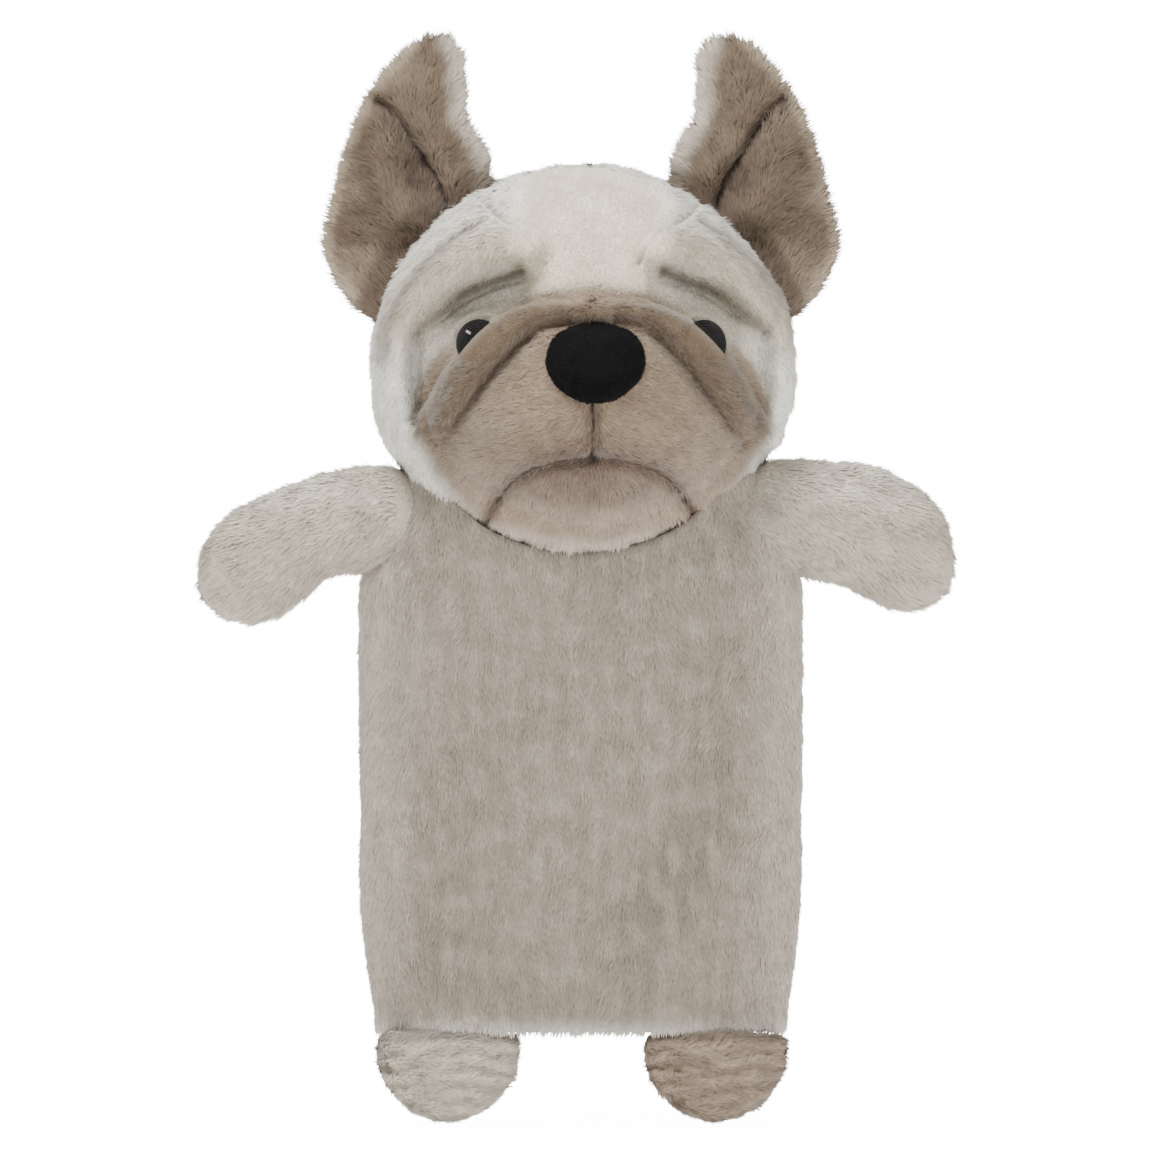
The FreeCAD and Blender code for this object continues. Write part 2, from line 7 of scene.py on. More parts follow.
# %% Load the frame
import json
import math
import bpy
import numpy as np
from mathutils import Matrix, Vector


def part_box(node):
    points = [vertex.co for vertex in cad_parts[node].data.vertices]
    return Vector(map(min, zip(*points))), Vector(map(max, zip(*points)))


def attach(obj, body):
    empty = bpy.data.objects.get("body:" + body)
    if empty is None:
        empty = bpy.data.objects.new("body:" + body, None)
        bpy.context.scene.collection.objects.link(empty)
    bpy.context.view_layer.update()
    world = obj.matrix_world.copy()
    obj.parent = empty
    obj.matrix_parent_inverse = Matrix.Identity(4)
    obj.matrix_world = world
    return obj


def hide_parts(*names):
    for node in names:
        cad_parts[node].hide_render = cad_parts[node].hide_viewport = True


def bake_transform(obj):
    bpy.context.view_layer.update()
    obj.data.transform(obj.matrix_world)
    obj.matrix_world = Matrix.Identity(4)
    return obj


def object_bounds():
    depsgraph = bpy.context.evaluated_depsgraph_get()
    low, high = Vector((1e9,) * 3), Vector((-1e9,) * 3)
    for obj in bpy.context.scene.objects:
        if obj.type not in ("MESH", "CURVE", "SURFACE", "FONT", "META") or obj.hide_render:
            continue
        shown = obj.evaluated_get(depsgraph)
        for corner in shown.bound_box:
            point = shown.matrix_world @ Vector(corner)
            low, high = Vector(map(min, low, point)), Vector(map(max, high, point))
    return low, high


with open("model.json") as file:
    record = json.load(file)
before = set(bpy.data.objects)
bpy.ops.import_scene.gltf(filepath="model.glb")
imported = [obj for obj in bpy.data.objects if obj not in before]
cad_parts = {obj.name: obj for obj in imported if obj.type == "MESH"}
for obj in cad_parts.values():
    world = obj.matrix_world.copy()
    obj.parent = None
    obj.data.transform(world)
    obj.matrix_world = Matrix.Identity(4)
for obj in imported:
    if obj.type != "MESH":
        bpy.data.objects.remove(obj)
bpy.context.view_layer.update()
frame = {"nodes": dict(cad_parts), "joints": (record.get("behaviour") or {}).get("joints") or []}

MM = 0.001
HEAD_TALL = 56          # from the middle of the head to its top, in millimetres


def span(*nodes):
    """The lowest and highest corner of several nodes together, in metres."""
    boxes = [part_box(node) for node in nodes]
    low = np.min([box[0] for box in boxes], axis=0)
    high = np.max([box[1] for box in boxes], axis=0)
    return low, high


head_low, head_high = span("head_side_left", "head_side_right", "head_back_left", "head_back_right")
HEAD = (head_low + head_high) / 2
HEAD[2] = head_high[2] - HEAD_TALL * MM
HEAD_HALF = np.array([head_high[0], head_high[1], head_high[2] - HEAD[2]])
body_low, body_high = span("body_front_panel", "body_back_panel")
print("head centre", HEAD.round(4), "half sizes", HEAD_HALF.round(4))

# %% [markdown]
# ## Working in whole arrays
# A soft toy has no flat faces, so each piece is a surface worked out from two parameters: `u`
# goes round and `v` goes along. numpy works out all the points at once. Three helpers carry most
# of the work: one turns a grid of points into a mesh, one gives a smooth random height, and one
# spaces points evenly along an outline.


# %% A mesh from a grid of points
def add_mesh(name, points, faces):
    """A new object whose mesh has these points (n, 3) and faces (m, 3 or 4)."""
    mesh = bpy.data.meshes.new(name)
    mesh.from_pydata(points.tolist(), [], faces.tolist())
    mesh.polygons.foreach_set("use_smooth", np.ones(len(mesh.polygons), bool))
    mesh.update()
    piece = bpy.data.objects.new(name, mesh)
    bpy.context.scene.collection.objects.link(piece)
    return piece


def grid_faces(rows, across, closed):
    """Quads between neighbouring points of a grid; a closed grid joins its last column to its first."""
    first = np.arange(rows - 1)[:, None] * across
    column = np.arange(across if closed else across - 1)[None, :]
    after = (column + 1) % across
    corners = [first + column, first + after, first + across + after, first + across + column]
    return np.stack(corners, axis=-1).reshape(-1, 4)


def closed_skin(name, rings):
    """A closed surface from rings of points (rows, around, 3), with a pole point at each end."""
    rows, around = rings.shape[:2]
    points = rings.reshape(-1, 3)
    poles = np.array([rings[0].mean(axis=0), rings[-1].mean(axis=0)])
    quads = grid_faces(rows, around, closed=True)
    here = np.arange(around)
    after = (here + 1) % around
    start = np.stack([np.full(around, len(points)), after, here], axis=-1)
    last = (rows - 1) * around
    end = np.stack([np.full(around, len(points) + 1), last + here, last + after], axis=-1)
    mesh = bpy.data.meshes.new(name)
    faces = quads.tolist() + start.tolist() + end.tolist()
    mesh.from_pydata(np.vstack([points, poles]).tolist(), [], faces)
    mesh.polygons.foreach_set("use_smooth", np.ones(len(mesh.polygons), bool))
    mesh.update()
    piece = bpy.data.objects.new(name, mesh)
    bpy.context.scene.collection.objects.link(piece)
    outwards(piece)
    return piece


def outwards(piece):
    """Turn every face outwards if the closed shape is inside out."""
    mesh = piece.data
    points, triangles = shape_of(piece)
    a, b, c = (points[triangles[:, k]] for k in range(3))
    if np.einsum("ij,ij->i", a, np.cross(b, c)).sum() < 0:
        mesh.flip_normals()


def shape_of(piece):
    """The mesh's points (n, 3) and triangles (m, 3)."""
    mesh = piece.data
    points = np.empty(len(mesh.vertices) * 3)
    mesh.vertices.foreach_get("co", points)
    mesh.calc_loop_triangles()
    triangles = np.empty(len(mesh.loop_triangles) * 3, dtype=np.int64)
    mesh.loop_triangles.foreach_get("vertices", triangles)
    return points.reshape(-1, 3), triangles.reshape(-1, 3)


def normals_of(piece):
    """The mesh's smooth normal at each point."""
    normals = np.empty(len(piece.data.vertices) * 3)
    piece.data.vertices.foreach_get("normal", normals)
    return normals.reshape(-1, 3)


# %% Smooth random heights, steps and even spacing
def ripple(points, size, seed):
    """A smooth random height from about -1 to 1: the mean of nine sine waves of one wavelength,
    each in a random direction."""
    rng = np.random.default_rng(seed)
    ways = rng.normal(size=(9, 3))
    ways /= np.linalg.norm(ways, axis=1)[:, None]
    phase = rng.uniform(0, 2 * np.pi, 9)
    return np.sin(points @ ways.T * (2 * np.pi / size) + phase).sum(axis=-1) / 3.6


def ease(low, high, x):
    """A smooth step: 0 below low, 1 above high, 3t^2 - 2t^3 between them."""
    t = np.clip((x - low) / (high - low), 0, 1)
    return t * t * (3 - 2 * t)


def curve_through(points, count):
    """Evenly spaced points on a smooth curve (Catmull-Rom) through the given ones."""
    p = np.asarray(points, float)
    p = np.vstack([2 * p[0] - p[1], p, 2 * p[-1] - p[-2]])
    t = np.linspace(0, 1, 12, endpoint=False)[:, None]
    a, b, c, d = (p[k:len(p) - 3 + k][:, None] for k in range(4))
    smooth = 0.5 * (2 * b + (c - a) * t + (2 * a - 5 * b + 4 * c - d) * t**2
                    + (3 * b - a - 3 * c + d) * t**3)
    line = np.vstack([smooth.reshape(-1, p.shape[1]), p[-2:-1]])
    return evenly(line, count)


def evenly(line, count):
    """The same line with points at equal distances along it."""
    steps = np.linalg.norm(np.diff(line, axis=0), axis=1)
    along = np.concatenate([[0], np.cumsum(steps)])
    want = np.linspace(0, along[-1], count)
    return np.stack([np.interp(want, along, line[:, k]) for k in range(line.shape[1])], axis=-1)


def near(x, z, line):
    """The distance from each place (x, z) to a line of points, by its nearest segment."""
    best = np.full(np.shape(x), 1e9)
    for (ax, az), (bx, bz) in zip(line, line[1:]):
        length = (bx - ax) ** 2 + (bz - az) ** 2
        t = np.clip(((x - ax) * (bx - ax) + (z - az) * (bz - az)) / length, 0, 1)
        best = np.minimum(best, np.hypot(x - ax - t * (bx - ax), z - az - t * (bz - az)))
    return best


# %% [markdown]
# ## Plush
# Plush is a knitted cloth with a dense pile of fibres, here about 3 mm long. Hair particles would
# look right in one program only, so the pile is real geometry: thousands of small tufts, each a
# closed spike of four triangles. A tuft leans the way the cloth is combed, and neighbours lean
# together in locks. Its colour is worked out from where it grows and kept in the mesh as a colour
# attribute. Each tuft is painted dark at the root, as painted shade deep in the pile, and pale at
# the tip, as painted light shining through the fibres. Its shading normals lean towards the
# cloth's own, so that light falls on the pile as softly as it does on the real thing.


# %% Colours by place
def paint(piece, colours):
    """Keep one colour (r, g, b) for each point of the mesh."""
    layer = piece.data.color_attributes.new("pile_colour", "FLOAT_COLOR", "POINT")
    full = np.ones((len(colours), 4), np.float32)
    full[:, :3] = np.clip(colours, 0, 1)
    layer.data.foreach_set("color", full.ravel())


def blend_colour(base, other, weight):
    """Move from one colour to another by a weight for each point."""
    return base + (np.asarray(other) - base) * np.asarray(weight)[:, None]


# %% Sow the pile
TUFT_ROOM = 48000       # tufts in one piece, so that a piece stays under 200,000 triangles


def sow(name, skin, body, per_mm2, length, comb, colour, width=0.55, lift=0.5, keep=None, seed=1,
        mess=1.0):
    """Tufts over a skin. Roots are spread evenly by area: each triangle is drawn with a chance
    equal to its share, and a place in it by two random numbers. A tuft's direction is the comb's
    direction laid in the surface, plus `lift` of the normal, plus a push that neighbours share."""
    rng = np.random.default_rng(seed)
    points, triangles = shape_of(skin)
    normals = normals_of(skin)
    a, b, c = (points[triangles[:, k]] for k in range(3))
    area = np.linalg.norm(np.cross(b - a, c - a), axis=1) / 2
    if keep is not None:
        area = area * keep((a + b + c) / 3)
    total = area.sum() / MM**2
    count = int(total * per_mm2)
    order = np.searchsorted(np.cumsum(area) / area.sum(), np.sort(rng.random(count)))
    r1, r2 = np.sqrt(rng.random(count))[:, None], rng.random(count)[:, None]
    weights = (1 - r1, r1 * (1 - r2), r1 * r2)
    chosen = triangles[np.clip(order, 0, len(triangles) - 1)]
    root = sum(w * points[chosen[:, k]] for k, w in enumerate(weights))
    up = sum(w * normals[chosen[:, k]] for k, w in enumerate(weights))
    up /= np.linalg.norm(up, axis=1)[:, None]

    lay = comb(root)
    lay = lay - (lay * up).sum(axis=1)[:, None] * up
    lay /= np.linalg.norm(lay, axis=1)[:, None] + 1e-9
    locks = np.stack([ripple(root, 7 * MM, seed * 10 + k) for k in range(3)], axis=-1)
    fine = np.stack([ripple(root, 3 * MM, seed * 10 + 5 + k) for k in range(3)], axis=-1)
    stray = 0.26 * locks + 0.16 * fine + rng.normal(scale=0.13, size=root.shape)
    way = lay + lift * up + mess * stray
    inward = np.minimum((way * up).sum(axis=1) - 0.16, 0)
    way -= inward[:, None] * up
    way /= np.linalg.norm(way, axis=1)[:, None]

    tall = length(root) * rng.uniform(0.75, 1.2, count) * MM
    wide = (width * rng.uniform(0.7, 1.25, count) * MM)[:, None]
    side = np.cross(way, up)
    side /= np.linalg.norm(side, axis=1)[:, None] + 1e-9
    front = np.cross(side, way)
    base = root - 0.25 * MM * up
    corners = np.stack([
        base + wide * 0.62 * side,
        base - wide * 0.62 * side,
        base + wide * 0.5 * front,
        base + tall[:, None] * way,
    ], axis=1)

    tone = colour(root)
    streak = 1 + mess * (0.06 * ripple(root, 5 * MM, seed + 71) + rng.normal(scale=0.06, size=count))
    tone = tone * np.clip(streak, 0.5, 1.5)[:, None]
    # Painted shade and light: each tuft is darker at the root, for the shade deep in the pile, and paler at
    # the tip, for light shining through the fibres.
    tint = np.stack([tone * 0.66, tone * 0.66, tone * 0.70, tone * 1.12], axis=1)
    shade = 0.75 * up + 0.45 * way + rng.normal(scale=0.12, size=root.shape)
    shade /= np.linalg.norm(shade, axis=1)[:, None]

    parts = max(1, math.ceil(count / TUFT_ROOM))
    made = []
    for number, chunk in enumerate(np.array_split(np.arange(count), parts)):
        label = name if parts == 1 else f"{name}_{number + 1}"
        made.append(tuft_piece(label, corners[chunk], tint[chunk], shade[chunk], body))
    print(f"{name}: {count} tufts on {total:.0f} square mm, {parts} piece(s)")
    return made


def tuft_piece(label, corners, tint, shade, body):
    """One mesh of closed spikes: base corners 0, 1, 2 and tip 3 of each tuft."""
    count = len(corners)
    first = (np.arange(count) * 4)[:, None]
    pattern = np.array([[0, 2, 1], [0, 1, 3], [1, 2, 3], [2, 0, 3]])
    faces = (first[:, :, None] + pattern[None]).reshape(-1, 3)
    mesh = bpy.data.meshes.new(label)
    mesh.vertices.add(count * 4)
    mesh.vertices.foreach_set("co", corners.ravel())
    mesh.loops.add(len(faces) * 3)
    mesh.loops.foreach_set("vertex_index", faces.ravel())
    mesh.polygons.add(len(faces))
    mesh.polygons.foreach_set("loop_start", np.arange(len(faces)) * 3)
    mesh.polygons.foreach_set("use_smooth", np.ones(len(faces), bool))
    mesh.update(calc_edges=True)
    piece = bpy.data.objects.new(label, mesh)
    bpy.context.scene.collection.objects.link(piece)
    paint(piece, tint.reshape(-1, 3))
    lay_out_tufts(mesh, count)
    mesh.normals_split_custom_set_from_vertices(np.repeat(shade, 4, axis=0))
    mesh.materials.append(plush_pile)
    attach(piece, body)
    return piece


def lay_out_tufts(mesh, count):
    """Give each tuft its own small cell of the picture plane, tip up, for a baked colour map."""
    cells = math.ceil(math.sqrt(count))
    cell = np.arange(count)
    corner = np.stack([cell % cells, cell // cells], axis=-1)[:, None]
    shape = np.array([[0.15, 0.15], [0.85, 0.15], [0.5, 0.3], [0.5, 0.85]])[None]
    places = ((corner + shape) / cells).reshape(-1, 2)
    loops = np.empty(len(mesh.loops), dtype=np.int64)
    mesh.loops.foreach_get("vertex_index", loops)
    layer = mesh.uv_layers.new(name="OFBake")
    layer.data.foreach_set("uv", places[loops].astype(np.float32).ravel())

# %% [markdown]
# ## Finishes
# Every material is a small tree of nodes. The pile and the cloth under it read the colours kept
# in the mesh; a fine noise on top breaks up any flatness. Sheen stands for the light that the
# fibres' sides scatter. Thread and lining get their own patterns.


# %% Helpers for material nodes
def new_finish(name, roughness, sheen=0.0):
    """A material with a Principled shader; what is the same all over is set on its sockets."""
    finish = bpy.data.materials.new(name)
    finish.use_nodes = True
    shader = finish.node_tree.nodes["Principled BSDF"]
    shader.inputs["Roughness"].default_value = roughness
    shader.inputs["Sheen Weight"].default_value = sheen
    shader.inputs["Sheen Roughness"].default_value = 0.5
    shader.inputs["Specular IOR Level"].default_value = 0.12
    return finish, finish.node_tree, shader


def node(tree, kind, **settings):
    """A shader node with some of its properties or sockets set."""
    made = tree.nodes.new("ShaderNode" + kind)
    for key, value in settings.items():
        if key in made.inputs:
            made.inputs[key].default_value = value
        else:
            setattr(made, key, value)
    return made


def noise_of(tree, scale, detail=3.0):
    """Noise over the object's own coordinates, in waves per metre."""
    place = node(tree, "TexCoord")
    noise = node(tree, "TexNoise", Scale=scale, Detail=detail)
    tree.links.new(place.outputs["Object"], noise.inputs["Vector"])
    return noise


def vary(tree, colour_socket, noise, low, high):
    """Multiply a colour by a noise stretched between two values."""
    stretch = node(tree, "MapRange")
    stretch.inputs["From Min"].default_value = 0.3
    stretch.inputs["From Max"].default_value = 0.7
    stretch.inputs["To Min"].default_value = low
    stretch.inputs["To Max"].default_value = high
    tree.links.new(noise.outputs["Fac"], stretch.inputs["Value"])
    mixed = node(tree, "VectorMath", operation="SCALE")
    tree.links.new(colour_socket, mixed.inputs[0])
    tree.links.new(stretch.outputs["Result"], mixed.inputs["Scale"])
    return mixed.outputs["Vector"]


def raise_bumps(tree, shader, height_socket, distance, strength=1.0):
    """Bumps from a height, in metres."""
    bump = node(tree, "Bump")
    bump.inputs["Strength"].default_value = strength
    bump.inputs["Distance"].default_value = distance
    tree.links.new(height_socket, bump.inputs["Height"])
    tree.links.new(bump.outputs["Normal"], shader.inputs["Normal"])


# %% Plush pile and the knitted cloth under it
def make_pile(name, sheen):
    """The tufts' own colours, varied fibre by fibre."""
    finish, tree, shader = new_finish(name, 0.85, sheen)
    kept = node(tree, "Attribute", attribute_name="pile_colour")
    colour = vary(tree, kept.outputs["Color"], noise_of(tree, 900), 0.92, 1.08)
    tree.links.new(colour, shader.inputs["Base Color"])
    return finish


def make_backing():
    """Cloth seen between the tufts: the same colours, darkened as painted shade under the pile, with a rough
    knitted surface.
    """
    finish, tree, shader = new_finish("plush_backing", 0.95)
    kept = node(tree, "Attribute", attribute_name="pile_colour")
    noise = noise_of(tree, 1400)
    # Painted shade: the cloth under the pile is drawn at 55 to 85 per cent of the pile's colour, for the
    # shade the tufts cast on it.
    colour = vary(tree, kept.outputs["Color"], noise, 0.55, 0.85)
    tree.links.new(colour, shader.inputs["Base Color"])
    raise_bumps(tree, shader, noise.outputs["Fac"], 0.4 * MM)
    return finish


plush_pile = make_pile("plush_pile", 0.16)
black_pile = make_pile("black_pile", 0.0)
plush_backing = make_backing()


# %% Thread, lining cloth and stitched eyes
def make_thread(name, dark, light):
    """Embroidery thread, laid in fine parallel lines with a slight shine."""
    finish, tree, shader = new_finish(name, 0.55, sheen=0.05)
    place = node(tree, "UVMap", uv_map="thread")
    wave = node(tree, "TexWave", wave_type="BANDS", bands_direction="X", Scale=1.0, Distortion=0.6)
    tree.links.new(place.outputs["UV"], wave.inputs["Vector"])
    ramp = node(tree, "ValToRGB")
    ramp.color_ramp.elements[0].color = (*dark, 1)
    ramp.color_ramp.elements[1].color = (*light, 1)
    tree.links.new(wave.outputs["Fac"], ramp.inputs["Fac"])
    tree.links.new(ramp.outputs["Color"], shader.inputs["Base Color"])
    raise_bumps(tree, shader, wave.outputs["Fac"], 0.15 * MM, 0.8)
    return finish


def make_lining():
    """Plain woven cotton: two sets of crossing yarns, half a millimetre apart."""
    finish, tree, shader = new_finish("lining_cloth", 0.9, sheen=0.1)
    place = node(tree, "TexCoord")
    height = None
    for way in ("X", "Z"):
        wave = node(tree, "TexWave", wave_type="BANDS", bands_direction=way, Scale=320.0, Distortion=0.4)
        tree.links.new(place.outputs["Object"], wave.inputs["Vector"])
        if height is None:
            height = wave.outputs["Fac"]
        else:
            add = node(tree, "Math", operation="MULTIPLY")
            tree.links.new(height, add.inputs[0])
            tree.links.new(wave.outputs["Fac"], add.inputs[1])
            height = add.outputs["Value"]
    ramp = node(tree, "ValToRGB")
    ramp.color_ramp.elements[0].color = (0.42, 0.39, 0.35, 1)
    ramp.color_ramp.elements[1].color = (0.68, 0.65, 0.60, 1)
    tree.links.new(height, ramp.inputs["Fac"])
    tree.links.new(ramp.outputs["Color"], shader.inputs["Base Color"])
    raise_bumps(tree, shader, height, 0.15 * MM)
    return finish


black_thread = make_thread("black_thread", (0.001, 0.001, 0.001), (0.007, 0.0065, 0.006))
# Partly painted shade: the stitched mouth and philtrum are real thread, and its dark brown also stands in for
# the shade in their creases.
thread_and_crease_shade = make_thread("thread_and_crease_shade", (0.05, 0.038, 0.028), (0.13, 0.10, 0.078))
# Painted highlight: this white thread makes the white mark on each eye that stands for its catch-light.
painted_highlight_white = make_thread("painted_highlight_white", (0.55, 0.54, 0.52), (0.75, 0.74, 0.72))
lining_cloth = make_lining()
LINED = ["neck_seam_ring", "armhole_seam_left", "armhole_seam_right",
         "finger_tube", "finger_tube_cap"]
for name in LINED:
    mesh = frame["nodes"][name].data
    mesh.materials.clear()
    mesh.materials.append(lining_cloth)
print("lined with woven cloth:", ", ".join(LINED))

# %% [markdown]
# ## The head
# The real head is a ball sewn from short-pile panels and stuffed hard, with padded rolls stitched
# over the brows and round the muzzle. It could be sculpted by hand; here it is one surface, the
# head's ball pushed out and in by a height that depends on where on the face a point lies. Each
# roll or crease follows a line of a few points, given as shares of the head's half width and half
# height, so that the face keeps its proportions on a head of another size.

# %% Lines of the face
WIDE, _, TALL = HEAD_HALF / MM
FACE_SHIFT = 3.0        # the face sits a little to its own left, as hand sewing leaves it


def face_line(shares, count=24):
    """A smooth line across one half of the face, in millimetres from its middle."""
    return curve_through(np.array(shares) * [WIDE, TALL], count)


MUZZLE_ROLL = face_line([(0, 0.225), (0.16, 0.22), (0.31, 0.185), (0.42, 0.115), (0.52, 0.01),
                         (0.6, -0.11), (0.68, -0.24), (0.745, -0.37)])
MUZZLE_CREASE = face_line([(0.1, 0.19), (0.225, 0.165), (0.3, 0.1), (0.37, 0.025), (0.47, -0.1),
                           (0.58, -0.25), (0.68, -0.4)])
ROLL_TOP = face_line([(0, 0.285), (0.2, 0.28), (0.36, 0.24), (0.48, 0.17), (0.59, 0.05), (0.72, -0.13),
                      (0.8, -0.28)])
BROW_ROLL = face_line([(0.31, 0.535), (0.42, 0.54), (0.55, 0.49), (0.68, 0.395), (0.79, 0.285),
                       (0.875, 0.16), (0.905, 0), (0.895, -0.18), (0.86, -0.34)])
BROW_CREASE = face_line([(0.32, 0.425), (0.41, 0.40), (0.515, 0.36), (0.6, 0.315), (0.69, 0.235),
                         (0.80, 0.145), (0.82, 0.04), (0.81, -0.16), (0.79, -0.33)])
OUTER_GROOVE = face_line([(0.42, 0.72), (0.6, 0.61), (0.74, 0.49), (0.85, 0.36), (0.93, 0.22),
                          (0.965, 0.02)])
FOREHEAD_SEAM = face_line([(0.50, 0.78), (0.40, 0.67), (0.27, 0.56), (0.22, 0.46)])
MOUTH = face_line([(0, -0.455), (0.15, -0.475), (0.29, -0.525), (0.39, -0.615), (0.45, -0.7),
                   (0.485, -0.77)])
PHILTRUM = face_line([(0.0, -0.21), (0.005, -0.33), (0.0, -0.455)])
EYE_PLACE = np.array([0.515 * WIDE, 0.08 * TALL])
EYE_R = 6.4
print("face lines:", len(BROW_ROLL), "points each")


# %% Height of the face
def hill(distance, reach, power=2.0):
    """A smooth hill over a line: exp(-(distance / reach)^power)."""
    return np.exp(-(np.abs(distance) / reach) ** power)


def face_height(x, z):
    """How far the face stands out of the head's ball at (x, z), in millimetres."""
    x = x - FACE_SHIFT
    a = np.abs(x)
    inside = 1 - ((a / 43) ** 2 + ((z + 12) / 30) ** 2)
    up = 12.5 * np.clip(inside, 0, 1) ** 0.62
    roll = near(a, z, MUZZLE_ROLL)
    up += 5.8 * hill(roll, 2.6 + 2.5 * ease(6, 28, a), 3) * ease(-27, -17, z)
    up -= 4.4 * hill(near(a, z, MUZZLE_CREASE), 1.7) * ease(-24, -16, z)
    up -= 1.6 * hill(near(a, z, ROLL_TOP), 1.6) * ease(4, 12, a)
    up += (9.2 - 1.6 * ease(40, 52, a)) * hill(near(a, z, BROW_ROLL), 6.0, 3.4)
    up -= (5.6 - 3.4 * ease(38, 48, a)) * hill(near(a, z, BROW_CREASE), 1.4)
    up -= 3.2 * hill(near(a, z, OUTER_GROOVE), 1.5) * ease(25, 34, a)
    up -= 1.6 * hill(near(a, z, FOREHEAD_SEAM), 0.9)
    under_brow = np.interp(a, BROW_CREASE[:13, 0], BROW_CREASE[:13, 1]) - z
    over_roll = z - np.interp(a, ROLL_TOP[:, 0], ROLL_TOP[:, 1])
    hollow = ease(-0.6, 1.8, under_brow) * ease(47.8, 45.6, a) * ease(14, 19, a) * ease(-2, 1.5, over_roll)
    up -= (5.2 - 2.4 * ease(34, 46, a)) * hollow
    up += 1.4 * hill(np.hypot(a - EYE_PLACE[0], z - EYE_PLACE[1]) - 8.2, 1.5) * ease(2, 9, z)
    up -= 3.0 * hill(near(a, z, MOUTH), 1.6) * ease(-44, -38, z)
    up -= 1.8 * hill(near(a, z, PHILTRUM), 1.2)
    up += 3.0 * hill(np.hypot((a - 17) / 1.6, (z + 19)), 9)
    up += 3.0 * hill(np.hypot(a / 1.7, z + 41), 11)
    return up


def head_surface(ways):
    """Points of the head's cloth for directions (n, 3) from its middle. The ball lies a pile's
    depth inside the engineered head; the face's height fades out towards the sides."""
    ball = ways * (HEAD_HALF - 1.9 * MM)
    out = ways / HEAD_HALF
    out /= np.linalg.norm(out, axis=-1)[..., None]
    facing = ease(0.02, 0.45, -ways[..., 1])
    tall = face_height(ball[..., 0] / MM, ball[..., 2] / MM) * facing
    lumps = 0.9 * ripple(ball, 42 * MM, 3) + 0.35 * ripple(ball, 17 * MM, 4)
    push = out * (1 - 0.62 * facing)[..., None] + np.array([0, -1.0, 0]) * facing[..., None]
    push /= np.linalg.norm(push, axis=-1)[..., None]
    place = HEAD + ball + push * ((tall + lumps) * MM)[..., None]
    place[..., 2] -= 2.2 * MM * ease(-34, -52, ball[..., 2] / MM)
    return place


def on_face(x, z, lift=0.0):
    """The place on the head's cloth in front of (x, z) millimetres from its middle, found by
    sampling the surface through the same formula with the ball's own depth."""
    x, z = np.asarray(x, float), np.asarray(z, float)
    half = HEAD_HALF / MM - 1.9
    depth = -np.sqrt(np.clip(1 - (x / half[0]) ** 2 - (z / half[2]) ** 2, 0.001, 1))
    ways = np.stack([x / half[0], depth, z / half[2]], axis=-1)
    place = head_surface(ways)
    normal = ways / HEAD_HALF
    normal /= np.linalg.norm(normal, axis=-1)[..., None]
    return place + normal * lift * MM, normal


# %% The head's cloth
def build_head():
    """Rings round the line from nose to nape: v runs from the front pole to the back one."""
    around, rows = 420, 214
    u = np.linspace(0, 2 * np.pi, around, endpoint=False)
    v = np.pi * (0.004 + 0.992 * np.linspace(0, 1, rows) ** 1.12)
    ways = np.stack([
        np.sin(v)[:, None] * np.cos(u),
        -np.cos(v)[:, None] * np.ones(around),
        np.sin(v)[:, None] * np.sin(u),
    ], axis=-1)
    return closed_skin("head_skin", head_surface(ways))


head_skin = build_head()
low, high = (np.array(corner) for corner in (shape_of(head_skin)[0].min(0), shape_of(head_skin)[0].max(0)))
print("head cloth from", low.round(4), "to", high.round(4))

# %% [markdown]
# ## Colours of the plush
# The cloth is printed, not dyed in one colour: the face is paler round the sides and browner on
# the muzzle, so colours are mixed by place. The creases and the top of the chin are darkened as
# painted shade. All are linear values for daylight.

# %% Colours of the head
PALE = np.array([0.80, 0.765, 0.67])
CREAM = np.array([0.68, 0.60, 0.465])
TAUPE = np.array([0.19, 0.140, 0.100])
GREIGE = np.array([0.31, 0.262, 0.208])
MUZZLE = np.array([0.25, 0.186, 0.13])
BLACK = np.array([0.0022, 0.002, 0.002])


def face_places(points):
    """Millimetres across and up from the middle of the face, and how much a point faces forward."""
    from_middle = (points - HEAD) / MM
    facing = ease(2, 16, -from_middle[:, 1])
    return from_middle[:, 0] - FACE_SHIFT, from_middle[:, 2], facing


